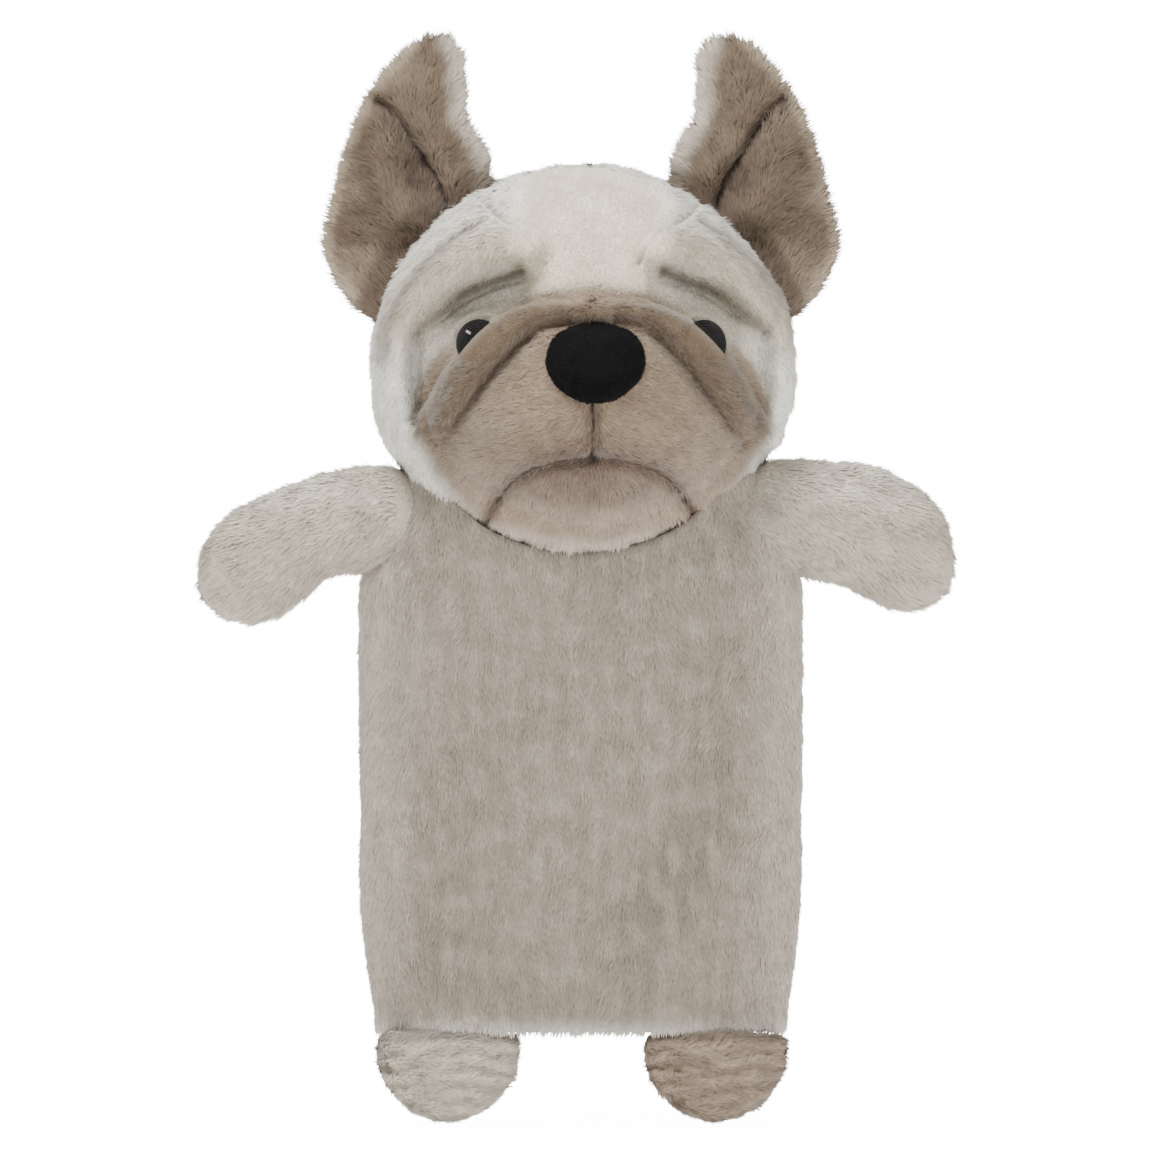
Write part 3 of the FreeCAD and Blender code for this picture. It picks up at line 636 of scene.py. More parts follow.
def head_colour(points):
    """Pale sides and back, cream forehead, warm brows, brown muzzle with a dark roll; painted shade along the
    creases and at the top of the chin, under the mouth.
    """
    x, z, facing = face_places(points)
    a = np.abs(x)
    colour = np.broadcast_to(PALE, points.shape).copy()
    brow = hill(near(a, z, BROW_ROLL), 8, 3) * ease(-2, 12, z)
    colour = blend_colour(colour, [0.46, 0.375, 0.27], facing * brow * 0.8)
    middle = ease(22, 15, a) * ease(10, 18, z)
    colour = blend_colour(colour, CREAM, facing * middle)
    inside = 1 - ((a / 47) ** 2 + ((z + 14) / 33) ** 2)
    colour = blend_colour(colour, MUZZLE, facing * ease(-0.16, 0.10, inside))
    colour = blend_colour(colour, [0.41, 0.30, 0.22], facing * ease(-24, -40, z) * ease(50, 30, a) * 0.7)
    socket = hill(np.hypot((a - 31) / 1.35, z - 11), 11, 4)
    colour = blend_colour(colour, [0.44, 0.395, 0.31], facing * socket * 0.85)
    roll = near(a, z, MUZZLE_ROLL)
    colour = blend_colour(colour, [0.135, 0.098, 0.064], facing * hill(roll, 2.4 + 2.6 * ease(6, 28, a), 4)
                          * ease(-30, -14, z))
    # Painted shade: the muzzle crease, the brow crease, the outer groove, the mouth and the philtrum are
    # darkened where shade falls in them.
    colour = blend_colour(colour, TAUPE * 0.9, facing * hill(near(a, z, MUZZLE_CREASE), 2.6) * 0.9)
    crease_shades = ((BROW_CREASE, 1.6, 0.9 - 0.45 * ease(30, 46, a)), (OUTER_GROOVE, 2.0, 0.6 * ease(25, 34, a)),
               (MOUTH, 1.8, 0.8), (PHILTRUM, 1.8, 0.6))
    for line, reach, deep in crease_shades:
        colour = blend_colour(colour, TAUPE * 0.6, facing * hill(near(a, z, line), reach) * deep)
    # Painted shade: the top of the chin, under the mouth and the overhanging muzzle, is darkened.
    chin = hill(np.hypot(a / 24, (z + 31) / 9), 1, 4)
    colour = blend_colour(colour, [0.14, 0.10, 0.076], facing * chin * 0.8)
    return colour * (1 + 0.07 * ripple(points, 12 * MM, 8))[:, None]


def head_comb(points):
    """Down and outwards from the nose on the muzzle, up on the forehead, down elsewhere."""
    x, z, facing = face_places(points)
    lay = np.stack([0.5 * np.tanh(x / 12), np.zeros(len(x)), -np.ones(len(x))], axis=-1)
    muzzle = facing * ease(-0.1, 0.15, 1 - ((x / 47) ** 2 + ((z + 12) / 32) ** 2)) * ease(-34, -24, z)
    sideways = np.stack([np.tanh(x / 5), np.zeros(len(x)), -0.35 * np.ones(len(x))], axis=-1)
    lay = lay + (sideways - lay) * muzzle[:, None]
    top = (facing * ease(18, 26, z) * ease(26, 18, np.abs(x)))[:, None]
    return lay + (np.array([0, 0, 1.0]) - lay) * top


def head_pile_length(points):
    """Short on the forehead and round the eyes, longest on the chin."""
    x, z, facing = face_places(points)
    a = np.abs(x)
    tall = 2.4 - 0.3 * facing - 1.1 * facing * ease(24, 16, a) * ease(14, 22, z)
    tall = tall - 1.0 * facing * hill(np.hypot((a - 31) / 1.35, z - 12), 12, 4)
    tall = tall + 0.9 * facing * ease(-28, -38, z)
    return np.clip(tall, 0.9, 4)


paint(head_skin, head_colour(shape_of(head_skin)[0]))
head_skin.data.materials.append(plush_backing)
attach(head_skin, "head")
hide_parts("forehead_panel", "head_side_left", "head_side_right", "head_back_left",
            "head_back_right", "chin_panel", "head_stuffing", "muzzle_cover", "muzzle_stuffing",
            "muzzle_fold", "brow_fold_left", "brow_fold_right", "eye_patch_left", "eye_patch_right")


def clear_of_eyes(points):
    """1 where pile may grow: not on the stitched eyes."""
    x, z, _ = face_places(points)
    eye = np.hypot(np.abs(x) - EYE_PLACE[0], z - EYE_PLACE[1])
    return np.where((eye < EYE_R + 0.2) & (points[:, 1] < HEAD[1]) & (z > 0.0), 0.0, 1.0)


def front_of_head(points):
    return (points[:, 1] < HEAD[1] - 6 * MM) * clear_of_eyes(points)


for piece in sow("face_pile", head_skin, "head", 4.2, head_pile_length, head_comb, head_colour,
                 width=0.5, lift=0.42, keep=front_of_head, seed=11):
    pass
for piece in sow("head_back_pile", head_skin, "head", 2.4, head_pile_length, head_comb, head_colour,
                 width=0.62, lift=0.45, keep=lambda p: p[:, 1] >= HEAD[1] - 6 * MM, seed=12):
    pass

# %% [markdown]
# ## Nose, eyes and stitched lines
# The nose is a padded oval of black plush with a very short pile. The eyes are satin-stitched
# discs whose threads run in rings, each with a short white cord at its upper left as a painted
# highlight. The mouth and the line under the nose are rows of thread pulled into the pile, made as
# a thin cord that follows the surface; its dark brown is partly the thread and partly painted shade
# in the crease.

# %% The nose
NOSE_LOW, NOSE_HIGH = span("nose")
NOSE_HALF = (NOSE_HIGH - NOSE_LOW) / 2


def build_nose():
    """A flattened ball, narrower and flatter below: radius = 1 for the direction's longitude, and
    each half width shrinks by a quarter towards the bottom."""
    around, rows = 96, 60
    u = np.linspace(0, 2 * np.pi, around, endpoint=False)
    v = np.pi * np.linspace(0.02, 0.98, rows)
    x = np.sin(v)[:, None] * np.cos(u)
    y = -np.cos(v)[:, None] * np.ones(around)
    z = np.sin(v)[:, None] * np.sin(u)
    x = np.sign(x) * np.abs(x) ** 0.86
    z = np.sign(z) * np.abs(z) ** 0.86
    narrow = 1 - 0.17 * ease(0.0, -1.0, z)
    middle, _ = on_face(FACE_SHIFT + 0.8, -1.6)
    depth = 4.6 + 0.5 * ripple(np.stack([x, y, z], axis=-1), 1.6, 5)
    points = np.stack([
        x * narrow * (NOSE_HALF[0] - 0.6 * MM),
        y * depth * MM + z * 2.6 * MM,
        z * 10.6 * MM,
    ], axis=-1)
    return closed_skin("nose_pad", points + middle + np.array([0, -0.9 * MM, 0.4 * MM]))


nose_pad = build_nose()
paint(nose_pad, np.broadcast_to(BLACK, (len(nose_pad.data.vertices), 3)))
nose_pad.data.materials.append(plush_backing)
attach(nose_pad, "head")
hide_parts("nose")


def from_nose(points):
    """Outwards from the nose's middle."""
    way = points - shape_of(nose_pad)[0].mean(axis=0)
    return way * np.array([1, 0.2, 1]) + np.array([0, 0, 0.002])


def nose_colour(points):
    """Near black, a little brown where the light catches the fibres."""
    return BLACK * (1 + 0.5 * ripple(points, 4 * MM, 21))[:, None]


for piece in sow("nose_pile", nose_pad, "head", 9.0, lambda p: np.full(len(p), 1.1), from_nose,
                 nose_colour, width=0.30, lift=0.5, keep=lambda p: p[:, 1] < p[:, 1].max() - 2 * MM,
                 seed=13):
    piece.data.materials[0] = black_pile


# %% Cords of thread that follow the face
def tube_along(name, line, radius, sides=10):
    """A closed tube: a circle of the radius carried along the line, square to it."""
    ahead = np.gradient(line, axis=0)
    ahead /= np.linalg.norm(ahead, axis=1)[:, None]
    first = np.cross(ahead, [0, 1.0, 0.001])
    first /= np.linalg.norm(first, axis=1)[:, None]
    second = np.cross(ahead, first)
    u = np.linspace(0, 2 * np.pi, sides, endpoint=False)
    size = np.broadcast_to(radius, len(line))[:, None, None]
    rings = (line[:, None] + size * np.cos(u)[None, :, None] * first[:, None]
             + size * np.sin(u)[None, :, None] * second[:, None])
    piece = closed_skin(name, rings)
    layer = piece.data.uv_layers.new(name="thread")
    loops = np.empty(len(piece.data.loops), dtype=np.int64)
    piece.data.loops.foreach_get("vertex_index", loops)
    row = np.minimum(loops // sides, len(line) - 1)
    around = (loops % sides) / sides
    uv = np.stack([row * 0.9 + around * 4, around], axis=-1)
    layer.data.foreach_set("uv", uv.astype(np.float32).ravel())
    return piece


# %% Eyes
def build_eye(side, sign):
    """A low dome on the face: height = 1.3 mm times (1 - r^2), with a thread ridge every 0.8 mm.
    Its rim turns back into the head, so that the disc is closed."""
    around, rings = 72, 40
    u = np.linspace(0, 2 * np.pi, around, endpoint=False)
    r = np.linspace(0.03, 1.0, rings)[:, None]
    x0, z0 = sign * EYE_PLACE[0] + FACE_SHIFT, EYE_PLACE[1]
    dx, dz = EYE_R * r * np.cos(u), EYE_R * r * np.sin(u)
    _, normal = on_face(x0, z0)
    middle, _ = on_face(x0, z0 + 3.0)
    across = np.cross(normal, [0, 0, 1.0])
    across /= np.linalg.norm(across)
    upward = np.cross(across, normal)
    height = 1.5 * (1 - r**2) + 0.13 * np.cos(2 * np.pi * EYE_R * r / 0.8) * (r < 0.95)
    height = height * np.ones(around)
    dome = (middle + normal * (height * MM + 0.4 * MM)[..., None] - across * (dx * MM)[..., None]
            + upward * ((dz - 3.0) * MM)[..., None])
    rim = dome[-1] - normal * 2.6 * MM
    back = (rim.mean(axis=0) + (rim - rim.mean(axis=0)) * 0.2)[None]
    eye = closed_skin(f"eye_disc_{side}", np.concatenate([dome, rim[None], back]))
    layer = eye.data.uv_layers.new(name="thread")
    loops = np.empty(len(eye.data.loops), dtype=np.int64)
    eye.data.loops.foreach_get("vertex_index", loops)
    points = shape_of(eye)[0]
    distance = np.linalg.norm(points - middle, axis=1) / MM
    uv = np.stack([distance[loops] * 2.2, np.zeros(len(loops))], axis=-1)
    layer.data.foreach_set("uv", uv.astype(np.float32).ravel())
    eye.data.materials.append(black_thread)
    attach(eye, "head")
    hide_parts(f"eye_{side}")
    # Painted highlight: a short white cord at the upper left of each eye stands for the eye's catch-light.
    spot = middle + normal * 1.9 * MM + across * 2.2 * MM + upward * (EYE_R * 0.42 - 3.0) * MM
    slant = across + 0.6 * upward
    glint_line = spot + np.linspace(-0.6, 0.6, 12)[:, None] * MM * slant
    glint = tube_along(f"eye_glint_{side}", glint_line, 0.36 * MM)
    glint.data.materials.append(painted_highlight_white)
    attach(glint, "head")


for side, sign in (("left", 1), ("right", -1)):
    build_eye(side, sign)
print("eyes are", 2 * EYE_R, "mm across")


# %% Stitched lines
def stitch(name, across, up, replaced):
    """A thread cord half sunk in the cloth along places of the face; its dark brown is partly the thread and
    partly painted shade in the crease.
    """
    line, _ = on_face(across, up, lift=0.1)
    cord = tube_along(name, evenly(line, 160), 0.4 * MM)
    cord.data.materials.append(thread_and_crease_shade)
    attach(cord, "head")
    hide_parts(replaced)
    return cord


both = np.vstack([MOUTH[::-1] * [-1, 1], MOUTH[1:]])
stitch("mouth_thread", both[:, 0] + FACE_SHIFT, both[:, 1], "mouth_stitch")
stitch("philtrum_thread", PHILTRUM[:, 0] + FACE_SHIFT, PHILTRUM[:, 1], "philtrum_stitch")
print("stitched lines follow the muzzle")

# %% [markdown]
# ## Ears
# Each ear is two layers of cloth, taupe in front and pale behind, folded so that the outer half
# laps over the inner one and leaves a pocket at the base, whose darkness is painted shade. A flat
# shape with two edges, an inner and an outer one, gives the outline; a ring of points round each
# cross-section gives the two layers, and the lap and the pocket are heights on the front layer.

# %% Shape of an ear
EAR_LOW, EAR_HIGH = span("ear_front_left", "ear_lining_left")
EAR_INNER = curve_through([(26.4, 40.0), (25.8, 46.5), (25.6, 53.0), (27.8, 59.5), (31.8, 65.5),
                           (32.4, 75.0), (32.8, 82.5), (36.4, 87.8)], 90)
EAR_OUTER = curve_through([(53.0, 9.0), (61.0, 15.5), (67.0, 24.0), (69.2, 33.5), (66.2, 46.0),
                           (62.6, 59.0), (57.4, 71.5), (49.0, 83.0), (42.0, 88.0)], 90)
EAR_LAP = curve_through([(55.5, 71.0), (50.0, 65.0), (44.5, 56.5), (39.0, 47.5), (36.6, 37.0)], 40)


def build_ear(side, sign, seed):
    """Row v joins the inner edge to the outer one; u goes round the flat section, front then back."""
    around = 132
    u = np.linspace(0, 2 * np.pi, around, endpoint=False)
    across = (1 - np.cos(u)) / 2
    inner, outer = EAR_INNER[:, None], EAR_OUTER[:, None]
    flat = inner + (outer - inner) * across[None, :, None]
    x, z = flat[..., 0], flat[..., 1]
    front = np.sin(u) * np.ones(len(inner))[:, None]
    share = across * np.ones(len(inner))[:, None]
    v = np.linspace(0, 1, len(inner))[:, None]
    half = 2.4 * np.abs(front) ** 0.55 * np.sign(front) * np.sqrt(np.clip(1 - v**6, 0, 1))
    lap_side = ease(-1.0, 1.0, (x - np.interp(z, EAR_LAP[::-1, 1], EAR_LAP[::-1, 0])))
    on_lap = lap_side * ease(30, 40, z) * ease(76, 66, z)
    lap = 4.2 * on_lap * (front > 0) * hill(near(x, z, EAR_LAP) - 7, 11, 2)
    pocket = 4.5 * hill(np.hypot((x - 44.0 - 0.45 * (z - 49)) / 4.4, (z - 49) / 10.5), 1.0) * (front > 0)
    cup = 5.5 * (4 * share * (1 - share)) * (1 - v) ** 0.8 - 3.0 * v**2
    crease = 3.0 * hill(near(x, z, EAR_LAP), 1.5) * (front > 0)
    wave = 0.8 * ripple(np.stack([x, z, front], axis=-1), 24, seed)
    y = -half - lap + np.minimum(pocket + crease, 5.0) + cup + wave
    middle = (EAR_LOW[1] + EAR_HIGH[1]) / 2
    points = np.stack([sign * x * MM, middle + y * MM - 1.2 * MM, HEAD[2] + z * MM], axis=-1)
    return closed_skin(f"ear_skin_{side}", points)


def ear_places(points):
    x = np.abs(points[:, 0]) / MM
    return x, (points[:, 2] - HEAD[2]) / MM


def ear_colour(points):
    """Taupe with mottled patches; painted shade in the pocket, along the lap's edge, at the bottom and where
    the ear meets the head.
    """
    x, z = ear_places(points)
    tone = np.broadcast_to([0.115, 0.085, 0.058], points.shape).copy()
    tone = blend_colour(tone, [0.17, 0.13, 0.092], ease(0.1, 0.9, ripple(points, 16 * MM, 31)) * 0.7)
    tone = blend_colour(tone, [0.19, 0.145, 0.105], ease(34, 22, z) * 0.8)
    tone = blend_colour(tone, [0.50, 0.44, 0.36], ease(7, 1.5, near(x, z, EAR_INNER[::6])) * 0.8)
    tone = blend_colour(tone, [0.36, 0.29, 0.21], ease(4, 0.5, near(x, z, EAR_OUTER[::6])) * 0.7)
    # Painted shade: the pocket, the lap's edge, the bottom of the ear and the band where it meets the head
    # are darkened where shade falls.
    dark = hill(np.hypot((x - 44.0 - 0.45 * (z - 49)) / 4.8, (z - 49) / 11.0), 1.0)
    dark = np.maximum(dark, 0.7 * hill(near(x, z, EAR_LAP), 2.0))
    dark = np.maximum(dark, 0.6 * ease(16, 8, z))
    dark = np.maximum(dark, 0.85 * ease(1.09, 1.01, np.hypot(x / WIDE, z / TALL)))
    return blend_colour(tone, [0.065, 0.045, 0.032], dark * 0.9)


def ear_back_colour(points):
    """The pale plush of the ear's back."""
    tone = np.broadcast_to([0.50, 0.42, 0.33], points.shape)
    return tone * (1 + 0.08 * ripple(points, 9 * MM, 33))[:, None]


def ear_comb(points):
    """From the base towards the edges and the tip."""
    x, z = ear_places(points)
    sign = np.sign(points[:, 0])
    return np.stack([sign * (x - 44) / 30, np.zeros(len(x)), 0.35 + 0 * z], axis=-1)


for side, sign, seed in (("left", 1, 41), ("right", -1, 42)):
    ear = build_ear(side, sign, seed)
    normals = normals_of(ear)
    points = shape_of(ear)[0]
    towards_front = ease(0.25, -0.25, normals[:, 1])
    colours = ear_back_colour(points)
    paint(ear, colours + (ear_colour(points) - colours) * towards_front[:, None])
    ear.data.materials.append(plush_backing)
    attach(ear, f"ear_{side}")
    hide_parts(f"ear_front_{side}", f"ear_lining_{side}")

    def front_face(p, ear=ear):
        """1 on the ear's front layer: the side whose nearest smooth normal looks forward."""
        mesh = ear.data
        a = np.empty(len(mesh.loop_triangles) * 3)
        mesh.loop_triangles.foreach_get("normal", a)
        return (a.reshape(-1, 3)[:, 1] < 0.05).astype(float)

    for piece in sow(f"ear_pile_{side}", ear, f"ear_{side}", 5.2, lambda p: np.full(len(p), 3.4),
                     ear_comb, ear_colour, width=0.5, lift=0.40, keep=front_face, seed=43 + sign):
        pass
    for piece in sow(f"ear_back_pile_{side}", ear, f"ear_{side}", 3.2, lambda p: np.full(len(p), 3.6),
                     ear_comb, ear_back_colour, width=0.55, lift=0.30,
                     keep=lambda p: 1 - front_face(p), seed=47 + sign):
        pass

# %% [markdown]
# ## The sleeve
# The body is an empty tube of plush, flattened by its own weight, with the raw edge turned in at
# the bottom. It is cut as two panels, front and back, each one sheet of cloth: `u` runs from side
# seam to side seam along the half section, `v` from the hem up to the neckline. The panels end
# under the head, where they meet its cloth.

# %% Shape of a sleeve panel
BODY_WIDE = (body_high[0] - body_low[0]) / 2 / MM
BODY_DEEP = (body_high[1] - body_low[1]) / 2 / MM
SHOULDER = frame["joints"][[j["name"] for j in frame["joints"]].index("arm_left_raise")]["pos_m"][2] / MM
HEAD_Z = HEAD[2] / MM


def half_section(count):
    """Evenly spaced points on half a rounded rectangle, |x|^3 + |y|^2.2 = 1, front half."""
    t = np.linspace(-np.pi / 2, np.pi / 2, 400)
    x = np.sign(np.sin(t)) * np.abs(np.sin(t)) ** (2 / 3)
    y = -np.abs(np.cos(t)) ** (2 / 2.2)
    line = np.stack([x * BODY_WIDE, y * BODY_DEEP], axis=-1)
    return evenly(line, count) / [BODY_WIDE, BODY_DEEP]


def panel_half_width(z):
    """Half the sleeve's width at a height: nipped at the hem, narrower over the shoulder."""
    nip = 1 - 0.075 * hill(z, 22, 1.6) - 0.008 * hill(z - 58, 9)
    shoulder = 1 - 0.19 * ease(SHOULDER - 18, SHOULDER + 14, z)
    return (BODY_WIDE + 0.4) * nip * shoulder


def panel_top(x, y):
    """The underside of the head above a place of the sleeve."""
    under = np.sqrt(np.clip(1 - (x / 62) ** 2 - (y / 46) ** 2, 0.02, 1))
    drop = np.where(y < 0, 57.0, 56.0)
    return np.minimum(HEAD_Z - drop * under, SHOULDER + 15)


def build_panel(name, front, seed):
    """A closed thin shell: the outer face, and the same points 1.6 mm further in."""
    across, rows = 150, 120
    section = half_section(across)
    sign = 1.0 if front else -1.0
    v = np.linspace(0, 1, rows)[:, None]
    top = panel_top(section[:, 0] * BODY_WIDE, section[:, 1] * BODY_DEEP)
    z = v * top[None]
    wide = panel_half_width(z)
    deep = BODY_DEEP - 1.2 - 2.0 * hill(z, 14) + 0.8 * hill(z - 70, 45)
    x = section[None, :, 0] * wide
    y = section[None, :, 1] * deep * sign
    flat = np.stack([x, y, z * 0.35], axis=-1)
    away = np.stack([section[:, 0] ** 5, section[:, 1] * sign], axis=-1)
    away /= np.linalg.norm(away, axis=1)[:, None] + 1e-9
    dents = (1.3 * ripple(flat, 38, seed) + 0.7 * ripple(flat, 15, seed + 1)) * ease(0, 10, z)
    side = ease(1.0, 0.93, np.abs(section[:, 0]))[None]
    outer = np.stack([x + away[:, 0] * dents * side, y + away[:, 1] * dents * side, z], axis=-1)
    inner = outer - np.concatenate([away, np.zeros((across, 1))], axis=1)[None] * 1.6
    inner[..., 0] *= np.where(np.abs(section[:, 0]) > 0.995, 0.985, 1.0)[None]
    outer, inner = outer * MM, inner * MM
    ring = np.concatenate([outer, inner[:, ::-1]], axis=1)
    return closed_strip(name, ring)


def closed_strip(name, ring):
    """A tube of rings whose open ends are bridged across the thin gap between its two faces."""
    rows, around = ring.shape[:2]
    half = around // 2
    faces = grid_faces(rows, around, closed=True)
    k = np.arange(half - 1)
    low = np.stack([k + 1, k, around - 1 - k, around - 2 - k], axis=-1)
    base = (rows - 1) * around
    high = np.stack([base + k, base + k + 1, base + around - 2 - k, base + around - 1 - k], axis=-1)
    piece = add_mesh(name, ring.reshape(-1, 3), np.concatenate([faces, low, high]))
    outwards(piece)
    return piece


def cloth_tube(name, outer, inner):
    """A tube of thin cloth: rings go up the outer face, over the edge and down the inner one."""
    ring = np.concatenate([outer, inner[::-1]])
    rows, around = ring.shape[:2]
    here = np.arange(around)
    after = (here + 1) % around
    last = (rows - 1) * around
    closing = np.stack([last + here, last + after, after, here], axis=-1)
    faces = np.concatenate([grid_faces(rows, around, closed=True), closing])
    piece = add_mesh(name, ring.reshape(-1, 3), faces)
    outwards(piece)
    return piece


def body_colour(points):
    """Greige, paler to the sides, with darker blotches down the middle and faint upright streaks."""
    x, z = points[:, 0] / MM, points[:, 2] / MM
    stretched = points * [1, 1, 0.35]
    tone = np.broadcast_to(GREIGE, points.shape)
    tone = blend_colour(tone, [0.50, 0.44, 0.36], ease(38, 61, np.abs(x)) * 0.85)
    blotch = ease(-0.3, 0.9, ripple(points, 46 * MM, 51)) * ease(56, 30, np.abs(x))
    tone = blend_colour(tone, [0.225, 0.187, 0.146], blotch * 0.8)
    pale = ease(-0.4, 1.1, ripple(stretched, 5 * MM, 52))
    tone = blend_colour(tone, [0.44, 0.385, 0.31], pale * 0.4)
    tone = blend_colour(tone, PALE, ease(6, 0, z) * 0.6)
    return tone


def body_comb(points):
    """Down, in slightly wandering locks."""
    drift = 0.35 * ripple(points, 30 * MM, 55)
    return np.stack([drift, np.zeros(len(points)), -np.ones(len(points))], axis=-1)


# %% Front and back of the sleeve
for name, front, node_name, seed in (("sleeve_front", True, "body_front_panel", 61),
                                     ("sleeve_back", False, "body_back_panel", 66)):
    panel = build_panel(name, front, seed)
    paint(panel, body_colour(shape_of(panel)[0]))
    panel.data.materials.append(plush_backing)
    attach(panel, "sleeve")
    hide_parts(node_name)

    def outer_face(p, panel=panel, front=front):
        """1 on the outer face of the panel."""
        mesh = panel.data
        normal = np.empty(len(mesh.loop_triangles) * 3)
        mesh.loop_triangles.foreach_get("normal", normal)
        normal = normal.reshape(-1, 3)
        away = p * [1, 1, 0]
        return ((normal * away).sum(axis=1) > 0.0).astype(float)

    for piece in sow(name + "_pile", panel, "sleeve", 4.0 if front else 2.2, lambda p: np.full(len(p), 2.4),
                     body_comb, body_colour, width=0.50, lift=0.36, keep=outer_face, seed=seed + 3,
                     mess=0.6):
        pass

# %% The turned hem
def section_ring(count):
    """The whole section: the front half section, then the back one, in order round the sleeve."""
    front = half_section(count // 2 + 1)
    return np.concatenate([front[:-1], (front * [1, -1])[::-1][:-1]])


def build_hem():
    """A band of thin cloth just inside both panels, from the hem edge up."""
    _, high = span("hem_facing")
    section = section_ring(240)
    rows = 16
    z = np.linspace(0.3, high[2] / MM, rows)[:, None]
    wide = panel_half_width(z)
    deep = BODY_DEEP - 1.2 - 2.0 * hill(z, 14) + 0.8 * hill(z - 70, 45)
    sides = []
    for inset in (2.1, 3.2):
        x = section[:, 0] * (wide - inset)
        y = section[:, 1] * (deep - inset)
        sides.append(np.stack([x, y, z * np.ones(len(section))], axis=-1) * MM)
    return cloth_tube("hem_cloth", *sides)


hem_cloth = build_hem()
hem_cloth.data.materials.append(lining_cloth)
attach(hem_cloth, "sleeve")
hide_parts("hem_facing")

# %% [markdown]
# ## Neck
# The head's cloth goes on down into the sleeve as a short soft tube. It shows when the head nods.

# %% The neck's cloth tube
def build_neck():
    """An oval tube with two faces: it goes up outside and comes down 1.6 mm further in."""
    around, rows = 120, 30
    u = np.linspace(0, 2 * np.pi, around, endpoint=False)
    v = np.linspace(0, 1, rows)[:, None]
    low, _ = span("neck_seam_ring")
    z = (low[2] / MM - 6) + v * 26
    sides = []
    for inset in (0, 1.6):
        crumple = 0.8 * ripple(np.stack([np.cos(u) * 40 + 0 * v, np.sin(u) * 15 + 0 * v, z * np.ones(around)],
                                        axis=-1), 14, 71)
        x = (38 - inset + crumple) * np.cos(u)
        y = (13.5 - inset + crumple) * np.sin(u)
        sides.append(np.stack([x, y, z * np.ones(around)], axis=-1) * MM)
    return cloth_tube("neck_cloth", *sides)


neck_cloth = build_neck()
paint(neck_cloth, body_colour(shape_of(neck_cloth)[0]))
neck_cloth.data.materials.append(plush_backing)
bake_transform(neck_cloth)

# %% [markdown]
# ## Arms and feet
# The arms are sewn from two flat pieces and stuffed, so they puff up: a soft shape is modelled a
# little too thin, and a short cloth simulation blows it up from inside, which brings the wrinkles
# along its seams. The feet are half discs made the same way, flatter, with long wavy pile.


# %% Puff a stuffed piece up
def puff(piece, cap):
    """Run cloth with air pressure for 20 frames on a copy ten times as large, then move each point
    of the piece the same way, but never further than `cap` millimetres."""
    before, _ = shape_of(piece)
    middle = before.mean(axis=0)
    trial = bpy.data.objects.new("puff_trial", piece.data.copy())
    bpy.context.scene.collection.objects.link(trial)
    trial.data.vertices.foreach_set("co", ((before - middle) * 10).ravel())
    trial.data.update()
    cloth = trial.modifiers.new("cloth", "CLOTH")
    cloth.settings.quality = 6
    cloth.settings.mass = 0.3
    cloth.settings.tension_stiffness = 25
    cloth.settings.compression_stiffness = 25
    cloth.settings.shear_stiffness = 12
    cloth.settings.bending_stiffness = 0.6
    cloth.settings.use_pressure = True
    cloth.settings.uniform_pressure_force = 4
    cloth.settings.effector_weights.gravity = 0
    cloth.point_cache.frame_start, cloth.point_cache.frame_end = 1, 20
    scene = bpy.context.scene
    for frame_number in range(1, 21):
        scene.frame_set(frame_number)
    after = np.empty(len(before) * 3)
    shown = trial.evaluated_get(bpy.context.evaluated_depsgraph_get())
    shown.data.vertices.foreach_get("co", after)
    move = after.reshape(-1, 3) / 10 + middle - before
    far = np.linalg.norm(move, axis=1)[:, None] + 1e-9
    move *= np.minimum(1, cap * MM / far)
    piece.data.vertices.foreach_set("co", (before + move).ravel())
    piece.data.update()
    bpy.data.objects.remove(trial)
    scene.frame_set(1)
    print(f"{piece.name} moved {far.mean() / MM:.1f} mm on average before the cap")


# %% Arms
ARM_LINES = {
    "right": (
        [(-41.5, 140), (-43, 148.5), (-49.5, 153.6), (-59, 153.8), (-67, 152.6), (-76.9, 149.6),
         (-87.3, 145.5), (-96.8, 140.0), (-102.6, 132.7), (-104.4, 125.4)],
        [(-41.5, 134), (-44, 128), (-51, 124.2), (-59.7, 123.9), (-64.6, 123.9), (-70, 122.0),
         (-76.9, 116.8), (-83.8, 112.8), (-90.6, 111.6), (-98, 113.6), (-102.6, 117.8), (-104.4, 123.4)],
    ),
    "left": (
        [(41.5, 140), (43, 149.5), (50, 155.0), (60, 156.0), (69, 155.6), (79, 154.4),
         (88.2, 150.4), (96, 144.6), (100.4, 136.9), (101.4, 128.6)],
        [(41.5, 134), (44, 127.5), (52, 123.8), (59.9, 123.2), (70.9, 120.9), (80.5, 117.1),
         (88.7, 115), (96, 116.8), (100.4, 121.2), (101.4, 126.4)],
    ),
}


